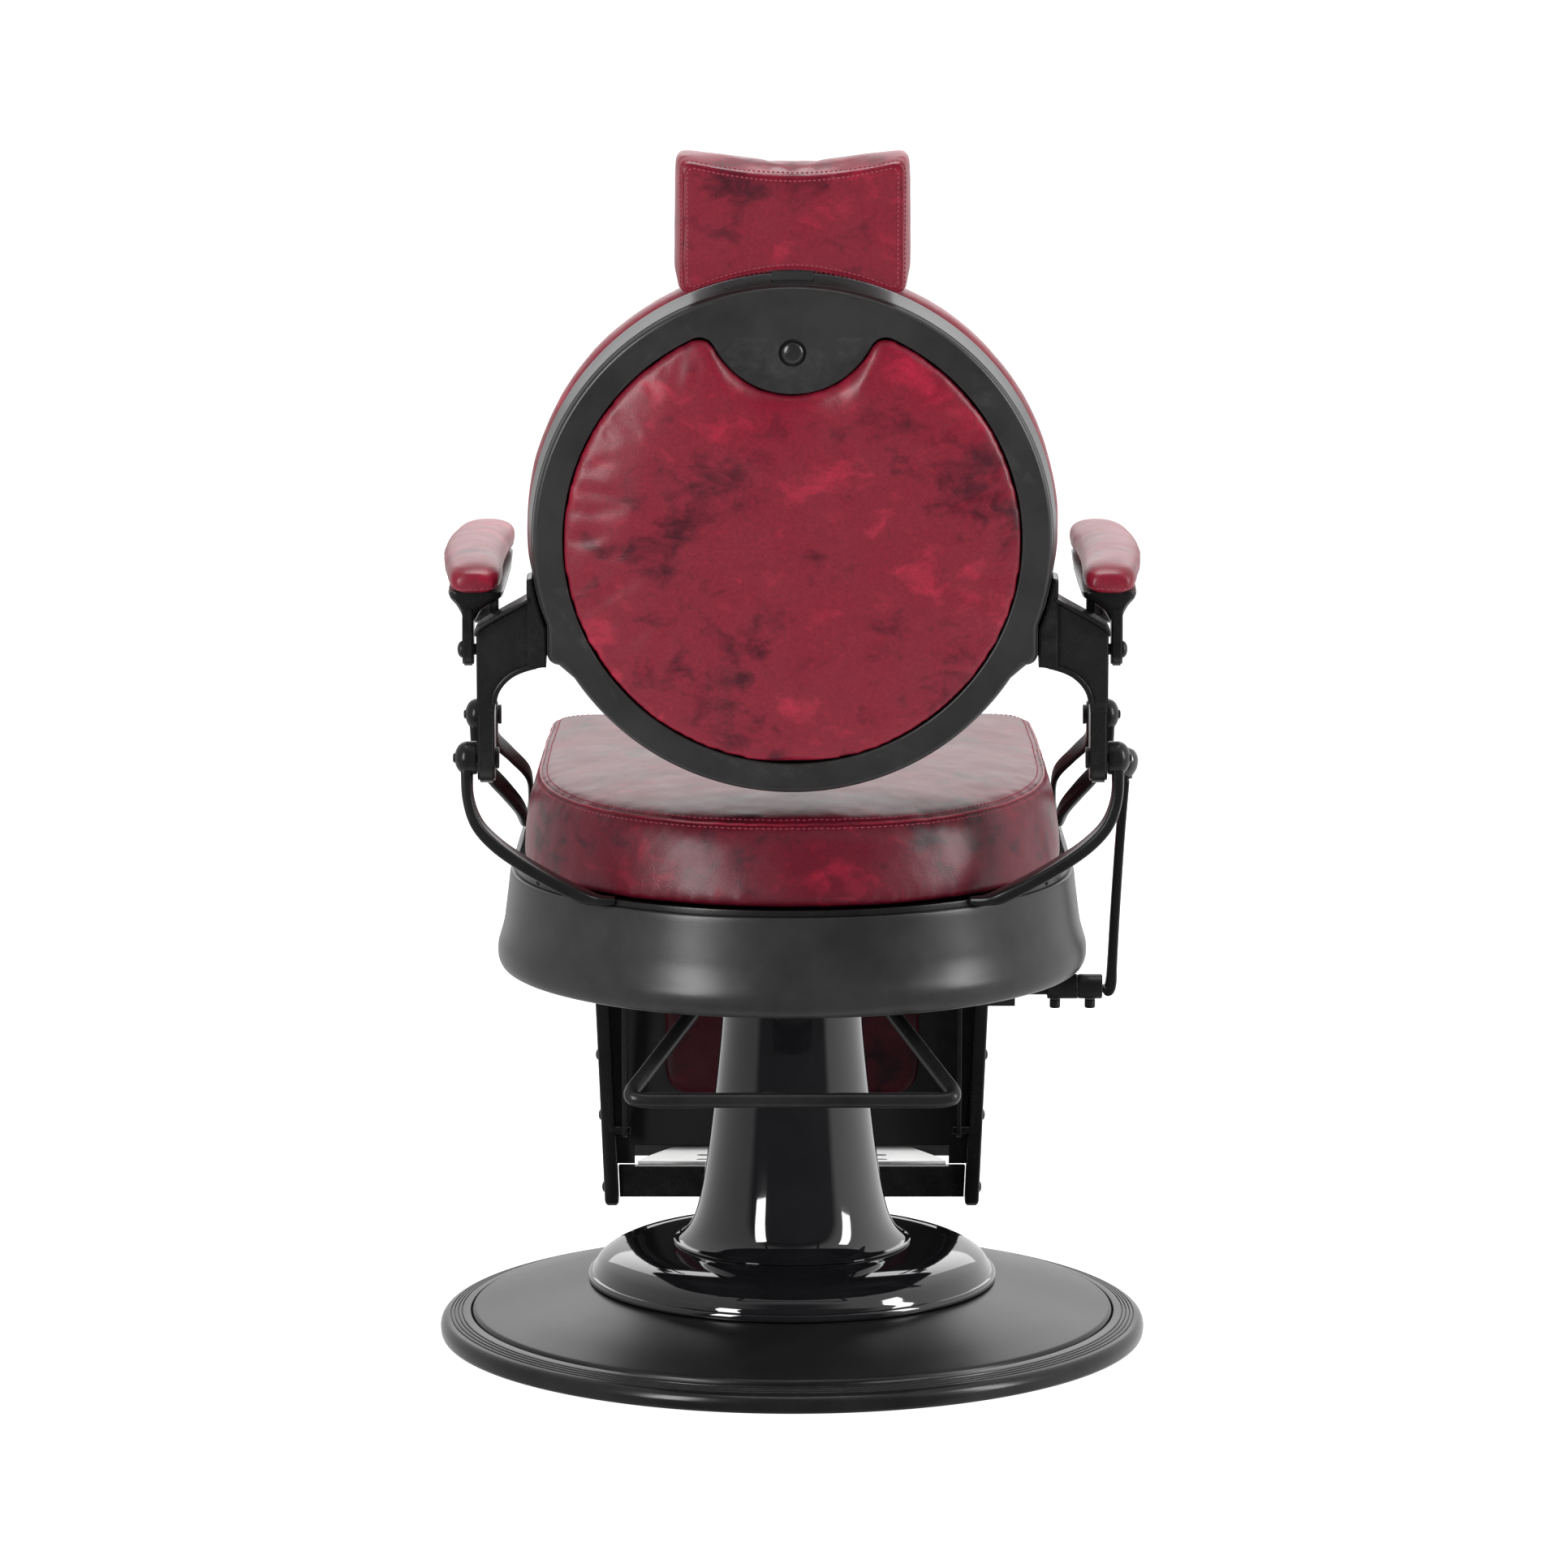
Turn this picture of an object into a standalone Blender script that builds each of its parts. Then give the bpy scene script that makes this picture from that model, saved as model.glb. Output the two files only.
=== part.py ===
"""Hydraulic barber chair: round base, rise and swivel, reclining back with headrest, arms and leg rest.

Metres, +Z up. The origin is on the floor at the column's axis, and the chair faces +Y.
Each sub-part is its own object, and the pieces that move hang from an empty on their joint's axis.
"""
import math

import bmesh
import bpy
from mathutils import Matrix, Vector

GAP = 0.0003

# Base and column
BASE_RADIUS = 0.325
PLATE_RADIUS = 0.2962
PLATE_EDGE_Z = 0.0226
PLATE_TOP_RADIUS = 0.187
PLATE_TOP_Z = 0.050
COVER_WALL = 0.003
GUIDE_Z = (0.300, 0.336)
ROD_RADIUS = 0.020
TUBE_RADIUS = 0.045
TUBE_Z = (0.090, 0.352)
RACE_Z = (0.3523, 0.3583)
HOUSING_Z = (0.3587, 0.3990)
FRAME_Z = (0.3993, 0.4318)

# Seat
SKIRT_RADIUS = 0.2583
SKIRT_SIDE = 0.2537
SKIRT_FRONT = 0.260
SKIRT_CORNER = 0.040
SKIRT_WALL = 0.0035
DECK_Z = 0.4356
PAN_TOP_Z = 0.4412
CUSHION_BOTTOM_Z = 0.4395
SEAM_Z = 0.512
SEAT_RISE = 0.042

# Side hinges: rear pivots carry the back, front pivots carry the arm links
REAR_Y = -0.200
FRONT_Y = 0.040
PIVOT_Z = 0.570
ARM_PIN_Z = 0.668
BRACKET_X = (0.2715, 0.2817)
LINK_X = (0.2762, 0.2842)
LUG_X = (0.2846, 0.2926)
PIN_RADIUS = 0.006

# Back, in its own leaning frame: X across, Y forward from the ring's rear face, Z up from the ring's centre
BACK_CENTRE = (0.0, -0.250, 0.771)
BACK_LEAN = math.radians(5.5)
RING_RADIUS = 0.229
RING_FLARE = 0.005
RING_DEPTH = 0.041
RING_SHEET = 0.003
OPENING_RADIUS = 0.2025
LOBE_CENTRE_Z = 0.210
LOBE_RADIUS = 0.077
LOBE_FILLET = 0.014
BUTTON_Z = 0.1704
POST_Y = (0.0180, 0.0245)

# Pump pedal, recline lever and leg rest
PEDAL_AXIS = (0.0, -0.087, 0.369)
PEDAL_BAR_RADIUS = 0.0068
LEVER_AXIS = (0.262, 0.0, 0.323)
LEG_HINGE = (0.0, 0.285, 0.318)
LEG_LEAN = math.radians(4.27)
STAY_PIN = (-0.008, -0.193)
FOOT_HINGE = (0.012, -0.237)
FOOT_REACH = 0.0860

FINISHES = {
    "satin_black": ((0.035, 0.035, 0.037), 0.38, 0.8),
    "cast_black": ((0.030, 0.030, 0.031), 0.50, 0.3),
    "gloss_black": ((0.008, 0.008, 0.009), 0.08, 0.0),
    "bright_steel": ((0.62, 0.62, 0.63), 0.25, 1.0),
    "dark_steel": ((0.20, 0.20, 0.21), 0.35, 1.0),
    "plate_silver": ((0.70, 0.70, 0.69), 0.32, 1.0),
    "crimson_leather": ((0.16, 0.006, 0.012), 0.35, 0.0),
    "black_board": ((0.020, 0.020, 0.020), 0.60, 0.0),
    "black_rubber": ((0.018, 0.018, 0.018), 0.75, 0.0),
    "knob_black": ((0.012, 0.012, 0.012), 0.25, 0.0),
}

# Empties of the moving bodies: name, parent and a point on the joint's axis
BODIES = (
    ("lift", None, (0.0, 0.0, 0.0)),
    ("swivel", "lift", (0.0, 0.0, 0.0)),
    ("pedal", "swivel", PEDAL_AXIS),
    ("lever", "swivel", LEVER_AXIS),
    ("back", "swivel", (0.0, REAR_Y, PIVOT_Z)),
    ("headrest", "back", BACK_CENTRE),
    ("button", "back", BACK_CENTRE),
    ("arm_link_left", "swivel", (-0.2802, FRONT_Y, PIVOT_Z)),
    ("arm_link_right", "swivel", (0.2802, FRONT_Y, PIVOT_Z)),
    ("arm_left", "arm_link_left", (-0.2802, FRONT_Y, ARM_PIN_Z)),
    ("arm_right", "arm_link_right", (0.2802, FRONT_Y, ARM_PIN_Z)),
    ("leg_rest", "swivel", LEG_HINGE),
    ("stay_left", "leg_rest", None),
    ("stay_right", "leg_rest", None),
    ("foot", "leg_rest", None),
)

BACK = Matrix.Translation(BACK_CENTRE) @ Matrix.Rotation(BACK_LEAN, 4, "X")
LEG = Matrix.Translation(LEG_HINGE) @ Matrix.Rotation(LEG_LEAN, 4, "X")
WORLD = Matrix.Identity(4)

# Planes that a flat outline is drawn in: the axes of its two directions and of its depth
TOP_VIEW = (0, 1, 2)
REAR_VIEW = (0, 2, 1)
SIDE_VIEW = (1, 2, 0)


def clear_scene():
    for obj in list(bpy.data.objects):
        bpy.data.objects.remove(obj, do_unlink=True)


def make_collection(name):
    collection = bpy.data.collections.new(name)
    bpy.context.scene.collection.children.link(collection)
    return collection


def make_finish(name):
    colour, roughness, metallic = FINISHES[name]
    finish = bpy.data.materials.new(name)
    finish.use_nodes = True
    shader = finish.node_tree.nodes["Principled BSDF"]
    shader.inputs["Base Color"].default_value = (*colour, 1.0)
    shader.inputs["Roughness"].default_value = roughness
    shader.inputs["Metallic"].default_value = metallic
    finish.diffuse_color = (*colour, 1.0)
    return finish


def make_bodies():
    """One empty per moving body, on its joint's axis."""
    points = {
        "stay_left": LEG @ Vector((-0.160, *STAY_PIN)),
        "stay_right": LEG @ Vector((0.160, *STAY_PIN)),
        "foot": LEG @ Vector((0.0, *FOOT_HINGE)),
    }
    empties = {}
    for name, parent, point in BODIES:
        empty = bpy.data.objects.new("axis_" + name, None)
        empty.location = points.get(name, point)
        empty.empty_display_size = 0.03
        PARTS.objects.link(empty)
        if parent:
            hang(empty, empties[parent])
        empties[name] = empty
    return empties


def hang(obj, empty):
    """Parent an object without moving it; the empties have a location only."""
    total = Vector((0.0, 0.0, 0.0))
    link = empty
    while link:
        total += link.location
        if link.parent:
            total += link.matrix_parent_inverse.translation
        link = link.parent
    obj.parent = empty
    obj.matrix_parent_inverse = Matrix.Translation(-total)


def finish_part(obj, name, finish, body, smooth=30.0):
    """Name, colour, shade and hang one sub-part."""
    obj.name = name
    obj.data.name = name
    if obj.name not in PARTS.objects:
        PARTS.objects.link(obj)
    obj.data.materials.clear()
    obj.data.materials.append(MATERIALS[finish])
    if obj.type == "MESH":
        obj.data.shade_smooth()
        obj.data.set_sharp_from_angle(angle=math.radians(smooth))
    if body:
        hang(obj, AXES[body])
    return obj


def mesh_object(bm, place=WORLD):
    """Close a bmesh into an object, with its faces pointing out."""
    bmesh.ops.transform(bm, matrix=place, verts=bm.verts)
    bmesh.ops.recalc_face_normals(bm, faces=bm.faces)
    mesh = bpy.data.meshes.new("shape")
    bm.to_mesh(mesh)
    bm.free()
    obj = bpy.data.objects.new("shape", mesh)
    return obj


def arc(centre, radius, start, end, count):
    """Points of an arc, in degrees, both ends included."""
    angles = [math.radians(start + (end - start) * i / (count - 1)) for i in range(count)]
    return [(centre[0] + radius * math.cos(a), centre[1] + radius * math.sin(a)) for a in angles]


def mirrored(outline):
    """Close a right half, whose points run from the axis at the bottom up to the top, with its left half."""
    left = [(-x, y) for x, y in reversed(outline) if abs(x) > 1e-6]
    return outline + left


def prism(outline, low, high, view=TOP_VIEW, place=WORLD, end_scale=1.0, bevel=0.0):
    """A flat outline given depth from low to high, along the view's third axis."""
    bm = bmesh.new()
    rings = []
    for depth, scale in ((low, 1.0), (high, end_scale)):
        ring = []
        for a, b in outline:
            point = [0.0, 0.0, 0.0]
            point[view[0]] = a * scale
            point[view[1]] = b * scale
            point[view[2]] = depth
            ring.append(bm.verts.new(point))
        rings.append(ring)
    skin(bm, rings)
    if bevel:
        bmesh.ops.recalc_face_normals(bm, faces=bm.faces)
        caps = [e for e in bm.edges if len({v in rings[0] for v in e.verts}) == 1]
        bmesh.ops.bevel(bm, geom=caps, offset=bevel, segments=1, affect="EDGES", clamp_overlap=True)
    return mesh_object(bm, place)


def skin(bm, rings):
    """Faces between rings of equal point counts, with both ends closed."""
    for ring, following in zip(rings, rings[1:]):
        for i in range(len(ring)):
            j = (i + 1) % len(ring)
            bm.faces.new((ring[i], ring[j], following[j], following[i]))
    bm.faces.new(rings[0])
    bm.faces.new(rings[-1])


def loft(sections, place=WORLD):
    """A body through closed sections of equal point counts, given as lists of 3-D points."""
    bm = bmesh.new()
    skin(bm, [[bm.verts.new(point) for point in section] for section in sections])
    return mesh_object(bm, place)


def turned(profile, segments, place=WORLD, closed=False):
    """A profile (radius, height) turned about Z; it runs down its outer side."""
    mesh = bpy.data.meshes.new("shape")
    count = len(profile)
    edges = [(i, i + 1) for i in range(count - 1)]
    if closed:
        edges.append((count - 1, 0))
    mesh.from_pydata([(radius, 0.0, height) for radius, height in profile], edges, [])
    obj = bpy.data.objects.new("shape", mesh)
    obj.matrix_world = place
    screw = obj.modifiers.new("Turn", "SCREW")
    screw.steps = segments
    screw.render_steps = segments
    screw.use_merge_vertices = True
    screw.merge_threshold = 0.00005
    screw.use_smooth_shade = True
    return obj


def cylinder(start, end, radius, segments=12):
    """A round bar between two points."""
    start = Vector(start)
    end = Vector(end)
    bm = bmesh.new()
    bmesh.ops.create_cone(bm, cap_ends=True, segments=segments, radius1=radius, radius2=radius,
                          depth=(end - start).length)
    turn = Vector((0.0, 0.0, 1.0)).rotation_difference(end - start).to_matrix().to_4x4()
    return mesh_object(bm, Matrix.Translation((start + end) / 2) @ turn)


def block(low, high, place=WORLD, bevel=0.0):
    """A box between two corners."""
    bm = bmesh.new()
    size = Vector(high) - Vector(low)
    bmesh.ops.create_cube(bm, size=1.0)
    bmesh.ops.scale(bm, vec=size, verts=bm.verts)
    bmesh.ops.translate(bm, vec=(Vector(high) + Vector(low)) / 2, verts=bm.verts)
    if bevel:
        bmesh.ops.bevel(bm, geom=bm.edges[:], offset=bevel, segments=1, affect="EDGES", clamp_overlap=True)
    return mesh_object(bm, place)


def combine(target, tools, operation):
    """Boolean the tools into a target mesh; the tools stay as cutters."""
    for tool in tools:
        CUTTERS.objects.link(tool)
        tool.hide_render = True
        tool.display_type = "WIRE"
        modifier = target.modifiers.new(operation.title(), "BOOLEAN")
        modifier.operation = operation
        modifier.object = tool
        modifier.solver = "EXACT"
    return target


def cut(target, *tools):
    return combine(target, tools, "DIFFERENCE")


def join(target, *tools):
    return combine(target, tools, "UNION")


def bar(path, side_axis, side_halves, normal_halves):
    """A flat bar along a path; its section is set by half sizes along side_axis and across it."""
    side_axis = Vector(side_axis)
    points = [Vector(point) for point in path]
    sections = []
    for i, point in enumerate(points):
        ahead = points[min(i + 1, len(points) - 1)]
        behind = points[max(i - 1, 0)]
        normal = side_axis.cross(ahead - behind).normalized()
        side = side_axis * side_halves[i]
        across = normal * normal_halves[i]
        sections.append([point + side + across, point - side + across,
                         point - side - across, point + side - across])
    return loft(sections)


def flip(points, side):
    """Mirror a path to the side it belongs to."""
    return [(side * x, y, z) for x, y, z in points]


def span(side, low, high):
    """An X range on one side of the chair, lowest first."""
    return (low, high) if side > 0 else (-high, -low)


SIDES = (("left", -1), ("right", 1))


# ---------------------------------------------------------------- base and column

def base_plate():
    """Dished casting with a foot rim and a solid hub under the column."""
    hub = 0.080
    rim = 0.281
    sheet = 0.008
    slope = (PLATE_TOP_Z - PLATE_EDGE_Z) / (PLATE_RADIUS - PLATE_TOP_RADIUS)
    under_edge = PLATE_EDGE_Z + (PLATE_RADIUS - rim) * slope - sheet
    top = PLATE_TOP_Z - 0.003
    profile = [(0.0, top), (PLATE_TOP_RADIUS - 0.001, top), (PLATE_TOP_RADIUS, PLATE_TOP_Z),
               (PLATE_RADIUS, PLATE_EDGE_Z), (PLATE_RADIUS, 0.0), (rim, 0.0), (rim, under_edge),
               (PLATE_TOP_RADIUS, top - sheet), (hub, top - sheet), (hub, 0.0), (0.0, 0.0)]
    finish_part(turned(profile, 48), "base_plate", "satin_black", None)


def base_rim():
    """Trim ring around the plate."""
    inner = PLATE_RADIUS + GAP
    profile = [(inner, 0.0215), (0.303, 0.0200), (0.3185, 0.0165), (0.3235, 0.0130),
               (BASE_RADIUS, 0.0085), (BASE_RADIUS, 0.0), (inner, 0.0)]
    finish_part(turned(profile, 48, closed=True), "base_rim", "satin_black", None)


def column_cover():
    """Thin cover over the hub: a low dome that runs up into a cone around the lift tube."""
    outer = [(0.0625, 0.340), (0.0650, 0.287), (0.0723, 0.213), (0.0802, 0.151), (0.0873, 0.121),
             (0.0930, 0.103), (0.1060, 0.0860), (0.150, 0.0815), (0.175, 0.0750), (0.1835, 0.0620),
             (0.187, 0.0505)]
    inner = [(0.1835, 0.0505), (0.1735, 0.0710), (0.150, 0.0780), (0.1040, 0.0825),
             (0.0840, 0.115), (0.0620, 0.287), (0.0625 - COVER_WALL, 0.340)]
    finish_part(turned(outer + inner, 36, closed=True), "column_cover", "gloss_black", None)


def guide_collar():
    """Bearing ring in the cover's mouth, in which the lift tube slides."""
    low, high = GUIDE_Z
    inner = TUBE_RADIUS + 0.0006
    outer = 0.0590
    profile = [(inner, high), (outer, high), (outer, low), (inner, low)]
    finish_part(turned(profile, 28, closed=True), "guide_collar", "dark_steel", None)


def piston_rod():
    """Fixed hydraulic rod that stands on the plate's hub."""
    foot = PLATE_TOP_Z - 0.003 + GAP
    profile = [(0.0, 0.310), (ROD_RADIUS - 0.001, 0.310), (ROD_RADIUS, 0.309), (ROD_RADIUS, foot + 0.012),
               (0.040, foot + 0.012), (0.040, foot), (0.0, foot)]
    finish_part(turned(profile, 24), "piston_rod", "bright_steel", None)


def lift_tube():
    """Cylinder that rises on the fixed rod."""
    low, high = TUBE_Z
    bore = ROD_RADIUS + 0.0012
    profile = [(0.0, high), (TUBE_RADIUS, high), (TUBE_RADIUS, low), (bore, low), (bore, 0.335), (0.0, 0.335)]
    finish_part(turned(profile, 28), "lift_tube", "bright_steel", "lift")


def swivel_race():
    """Race on the tube's top that the seat turns on."""
    low, high = RACE_Z
    profile = [(0.020, high), (0.040, high), (0.040, low), (0.020, low)]
    finish_part(turned(profile, 24, closed=True), "swivel_race", "bright_steel", "lift")


def build_base():
    base_plate()
    base_rim()
    column_cover()
    guide_collar()
    piston_rod()
    lift_tube()
    swivel_race()


# ---------------------------------------------------------------- seat

def seat_shape(rear_centre, rear_radius, rear_end, side, front_x, front_y, corner, grow=0.0):
    """Seat outline from above: round behind, straight sides, and a front with round corners."""
    right = arc((0.0, rear_centre), rear_radius + grow, -90.0, rear_end, 11)
    right.append((side[0] + grow, side[1]))
    centre = (front_x - corner, front_y - corner)
    right += arc(centre, corner + grow, 0.0, 90.0, 5)
    return mirrored(right)


def skirt_shape(grow):
    return seat_shape(0.0, SKIRT_RADIUS, 0.0, (0.2557, 0.130), SKIRT_SIDE, SKIRT_FRONT, SKIRT_CORNER, grow)


def level(outline, z):
    return [(x, y, z) for x, y in outline]


def seat_skirt():
    """Pressed skirt: a deck on top, a flaring wall and a rolled lower edge."""
    outer = ((0.0, DECK_Z), (0.0042, 0.400), (0.0082, 0.375), (0.0117, 0.361), (0.0097, 0.350),
             (0.0037, 0.3455))
    inner = ((-0.0003, 0.3490), (0.0030, 0.3600), (0.0042 - SKIRT_WALL, 0.400),
             (-SKIRT_WALL, DECK_Z - SKIRT_WALL))
    sections = [level(skirt_shape(grow), z) for grow, z in outer + inner]
    finish_part(loft(sections), "seat_skirt", "satin_black", "swivel")


def seat_pan():
    """Shallow tray that carries the cushion, with a slot in its wall beside each rear strap."""
    outside = -0.0048
    inside = outside - 0.002
    floor = DECK_Z + GAP
    sections = [level(skirt_shape(inside), floor + 0.0028), level(skirt_shape(inside), PAN_TOP_Z),
                level(skirt_shape(outside), PAN_TOP_Z), level(skirt_shape(outside), floor)]
    pan = loft(sections)
    for _, side in SIDES:
        spin = Matrix.Rotation(math.atan2(-0.109, side * 0.234), 4, "Z")
        cut(pan, block((0.240, -0.007, floor + 0.003), (0.262, 0.007, PAN_TOP_Z + 0.01), spin))
    finish_part(pan, "seat_pan", "cast_black", "swivel")


def cushion_seam():
    """Top seam of the cushion from above: squarer behind than the skirt, with straight sides."""
    half = 0.2335
    centre = 0.020
    depth = 0.236
    power = 2.0 / 2.25
    right = []
    for i in range(11):
        angle = math.radians(9.0 * i)
        right.append((half * math.sin(angle) ** power, centre - depth * math.cos(angle) ** power))
    right.append((0.2310, 0.130))
    right += arc((0.1930, 0.2270), 0.034, 0.0, 90.0, 5)
    return mirrored(right)


def seat_cushion():
    """Box cushion: round at the bottom like the skirt, squarer at its top seam, and crowned."""
    bottom = seat_shape(0.0, 0.246, -1.0, (0.2405, 0.130), 0.2350, 0.258, 0.030)
    top = cushion_seam()
    under = [(x * 0.975, y * 0.975) for x, y in bottom]

    def between(share, swell):
        ring = [(a + (c - a) * share, b + (d - b) * share) for (a, b), (c, d) in zip(bottom, top)]
        return [(x * swell, y * swell) for x, y in ring]

    def sloped(outline, scale, lift):
        return [(x * scale, y * scale, SEAM_Z + lift + SEAT_RISE * (y * scale + 0.238)) for x, y in outline]

    sections = [level(under, CUSHION_BOTTOM_Z), level(bottom, 0.450), level(between(0.4, 1.012), 0.477),
                level(between(0.8, 1.018), 0.501), sloped(top, 1.0, 0.0), sloped(top, 0.955, 0.0065),
                sloped(top, 0.75, 0.0105), sloped(top, 0.40, 0.0125)]
    finish_part(loft(sections), "seat_cushion", "crimson_leather", "swivel")


def seat_frame():
    """Cross beam under the deck, with the lever shaft's bearing hanging from its right end."""
    low, high = FRAME_Z
    beam = block((-0.205, -0.030, low + 0.004), (0.205, 0.030, high))
    core = block((-0.085, -0.120, low), (0.085, 0.150, high - 0.0005))
    bearing = block((0.170, -0.018, LEVER_AXIS[2] - 0.015), (0.2045, 0.018, low + 0.010))
    hole = cylinder((0.15, 0.0, LEVER_AXIS[2]), (0.22, 0.0, LEVER_AXIS[2]), 0.0088)
    finish_part(cut(join(beam, core, bearing), hole), "seat_frame", "cast_black", "swivel")


def pump_housing():
    """Pump block that turns on the race and carries the pedal's stub axles."""
    low, high = HOUSING_Z
    body = block((-0.042, -0.105, low), (0.042, 0.085, high), bevel=0.003)
    bore = cylinder((-0.06, PEDAL_AXIS[1], PEDAL_AXIS[2]), (0.06, PEDAL_AXIS[1], PEDAL_AXIS[2]), 0.0078, 16)
    finish_part(cut(body, bore), "pump_housing", "cast_black", "swivel")


def pivot_pin(side, y, z, profile, name, finish, body):
    """A headed pin along X, turned from a profile of (radius, distance outwards)."""
    place = Matrix.Translation((0.0, y, z)) @ Matrix.Rotation(side * math.pi / 2, 4, "Y")
    finish_part(turned(profile, 12, place), name, finish, body)


def pin_profile(radius, inner_end, nut, grip_in, grip_out, head, dome):
    """Domed head outside, shank through the grip, and a nut inside."""
    return [(0.0, grip_out + dome), (head * 0.62, grip_out + dome * 0.85), (head, grip_out + dome * 0.35),
            (head, grip_out), (radius, grip_out), (radius, grip_in), (nut, grip_in), (nut, inner_end),
            (0.0, inner_end)]


def rear_strap(side_name, side):
    """Flat bar from the rim of the pan, sweeping out and up to the rear pivot."""
    bends = ((0.1690, 0.4476), (0.1874, 0.4500), (0.2128, 0.4610), (0.2416, 0.4760),
             (0.2655, 0.4920), (0.2820, 0.5100), (0.2897, 0.5320), (0.2920, PIVOT_Z))
    path = [(x, REAR_Y, z) for x, z in bends]
    strap = bar(flip(path, side), (0.0, 1.0, 0.0), [0.0153] * 8, [0.0050] * 7 + [0.0058])
    head = cylinder((side * 0.2850, REAR_Y, PIVOT_Z), (side * 0.2990, REAR_Y, PIVOT_Z), 0.0158, 24)
    hole = cylinder((side * 0.27, REAR_Y, PIVOT_Z), (side * 0.31, REAR_Y, PIVOT_Z), PIN_RADIUS + 0.0004, 14)
    finish_part(cut(join(strap, head), hole), "rear_strap_" + side_name, "satin_black", "swivel")
    profile = pin_profile(PIN_RADIUS, 0.2640, 0.0095, BRACKET_X[0] - GAP, 0.2993, 0.0140, 0.0074)
    pivot_pin(side, REAR_Y, PIVOT_Z, profile, "rear_pivot_" + side_name, "dark_steel", "swivel")


def front_straps(side_name, side):
    """Fork that carries the arm link: a heavy outer strap and a thin inner one."""
    outer = [(0.2495, 0.172, 0.4486), (0.2500, 0.150, 0.4530), (0.2540, 0.110, 0.4720), (0.2657, 0.075, 0.4940),
             (0.2796, 0.050, 0.5150), (0.2897, 0.042, 0.5320), (0.2925, FRONT_Y, PIVOT_Z)]
    widths = [0.0060, 0.0062, 0.0080, 0.0095, 0.0110, 0.0120, 0.0125]
    strap = bar(flip(outer, side), (1.0, 0.0, 0.0), [0.0045] * 6 + [0.0050], widths)
    head = cylinder((side * 0.2875, FRONT_Y, PIVOT_Z), (side * 0.2985, FRONT_Y, PIVOT_Z), 0.0138, 22)
    hole = cylinder((side * 0.26, FRONT_Y, PIVOT_Z), (side * 0.31, FRONT_Y, PIVOT_Z), PIN_RADIUS + 0.0004, 14)
    finish_part(cut(join(strap, head), hole), "front_strap_outer_" + side_name, "satin_black", "swivel")

    inner = [(0.2478, 0.207, 0.4469), (0.2460, 0.185, 0.4565), (0.2440, 0.150, 0.4750), (0.2450, 0.105, 0.5040),
             (0.2600, 0.070, 0.5280), (0.2722, 0.048, 0.5450), (0.2728, FRONT_Y, PIVOT_Z)]
    widths = [0.0042, 0.0050, 0.0065, 0.0075, 0.0080, 0.0090, 0.0100]
    strap = bar(flip(inner, side), (1.0, 0.0, 0.0), [0.0024] * 7, widths)
    head = cylinder((side * 0.2703, FRONT_Y, PIVOT_Z), (side * 0.2755, FRONT_Y, PIVOT_Z), 0.0125, 22)
    hole = cylinder((side * 0.26, FRONT_Y, PIVOT_Z), (side * 0.31, FRONT_Y, PIVOT_Z), PIN_RADIUS + 0.0004, 14)
    finish_part(cut(join(strap, head), hole), "front_strap_inner_" + side_name, "satin_black", "swivel")

    profile = pin_profile(PIN_RADIUS, 0.2630, 0.0095, 0.2703 - GAP, 0.2988, 0.0125, 0.0070)
    pivot_pin(side, FRONT_Y, PIVOT_Z, profile, "front_pivot_" + side_name, "dark_steel", "swivel")


def leg_hanger(side_name, side):
    """Plate from the deck down to the leg rest's hinge, with a stub axle for the rail."""
    hinge = LEG_HINGE[1:]
    outline = [(0.210, 0.4315), (0.210, 0.3160), (0.262, 0.3030)] + arc(hinge, 0.0150, -110.0, 100.0, 9)
    outline += [(0.247, 0.3400), (0.247, 0.4315)]
    low, high = span(side, 0.1915, 0.1985)
    plate = prism(outline, low, high, SIDE_VIEW)
    axle = cylinder((side * 0.1745, *hinge), (side * 0.1950, *hinge), PIN_RADIUS, 14)
    finish_part(join(plate, axle), "leg_hanger_" + side_name, "satin_black", "swivel")


def build_seat():
    seat_skirt()
    seat_pan()
    seat_cushion()
    seat_frame()
    pump_housing()
    for side_name, side in SIDES:
        rear_strap(side_name, side)
        front_straps(side_name, side)
        leg_hanger(side_name, side)


# ---------------------------------------------------------------- pedal and lever

def pump_pedal():
    """Bent round bar: stub axles in the pump block, side rods, and the foot bar behind."""
    _, y, z = PEDAL_AXIS
    right = [(0.0160, y, z), (0.0450, y, z), (0.0535, -0.0900, 0.3675), (0.0590, -0.0990, 0.3630),
             (0.0946, -0.1700, 0.3260), (0.1340, -0.2440, 0.2880), (0.1430, -0.2600, 0.2797),
             (0.1435, -0.2665, 0.2760), (0.1390, -0.2700, 0.2742), (0.1300, -0.2710, 0.2735)]
    points = right + [(-x, b, c) for x, b, c in reversed(right)]
    curve = bpy.data.curves.new("pump_pedal", "CURVE")
    curve.dimensions = "3D"
    curve.bevel_depth = PEDAL_BAR_RADIUS
    curve.bevel_resolution = 2
    curve.use_fill_caps = True
    spline = curve.splines.new("POLY")
    spline.points.add(len(points) - 1)
    for slot, point in zip(spline.points, points):
        slot.co = (*point, 1.0)
    finish_part(bpy.data.objects.new("pump_pedal", curve), "pump_pedal", "dark_steel", "pedal")


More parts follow.
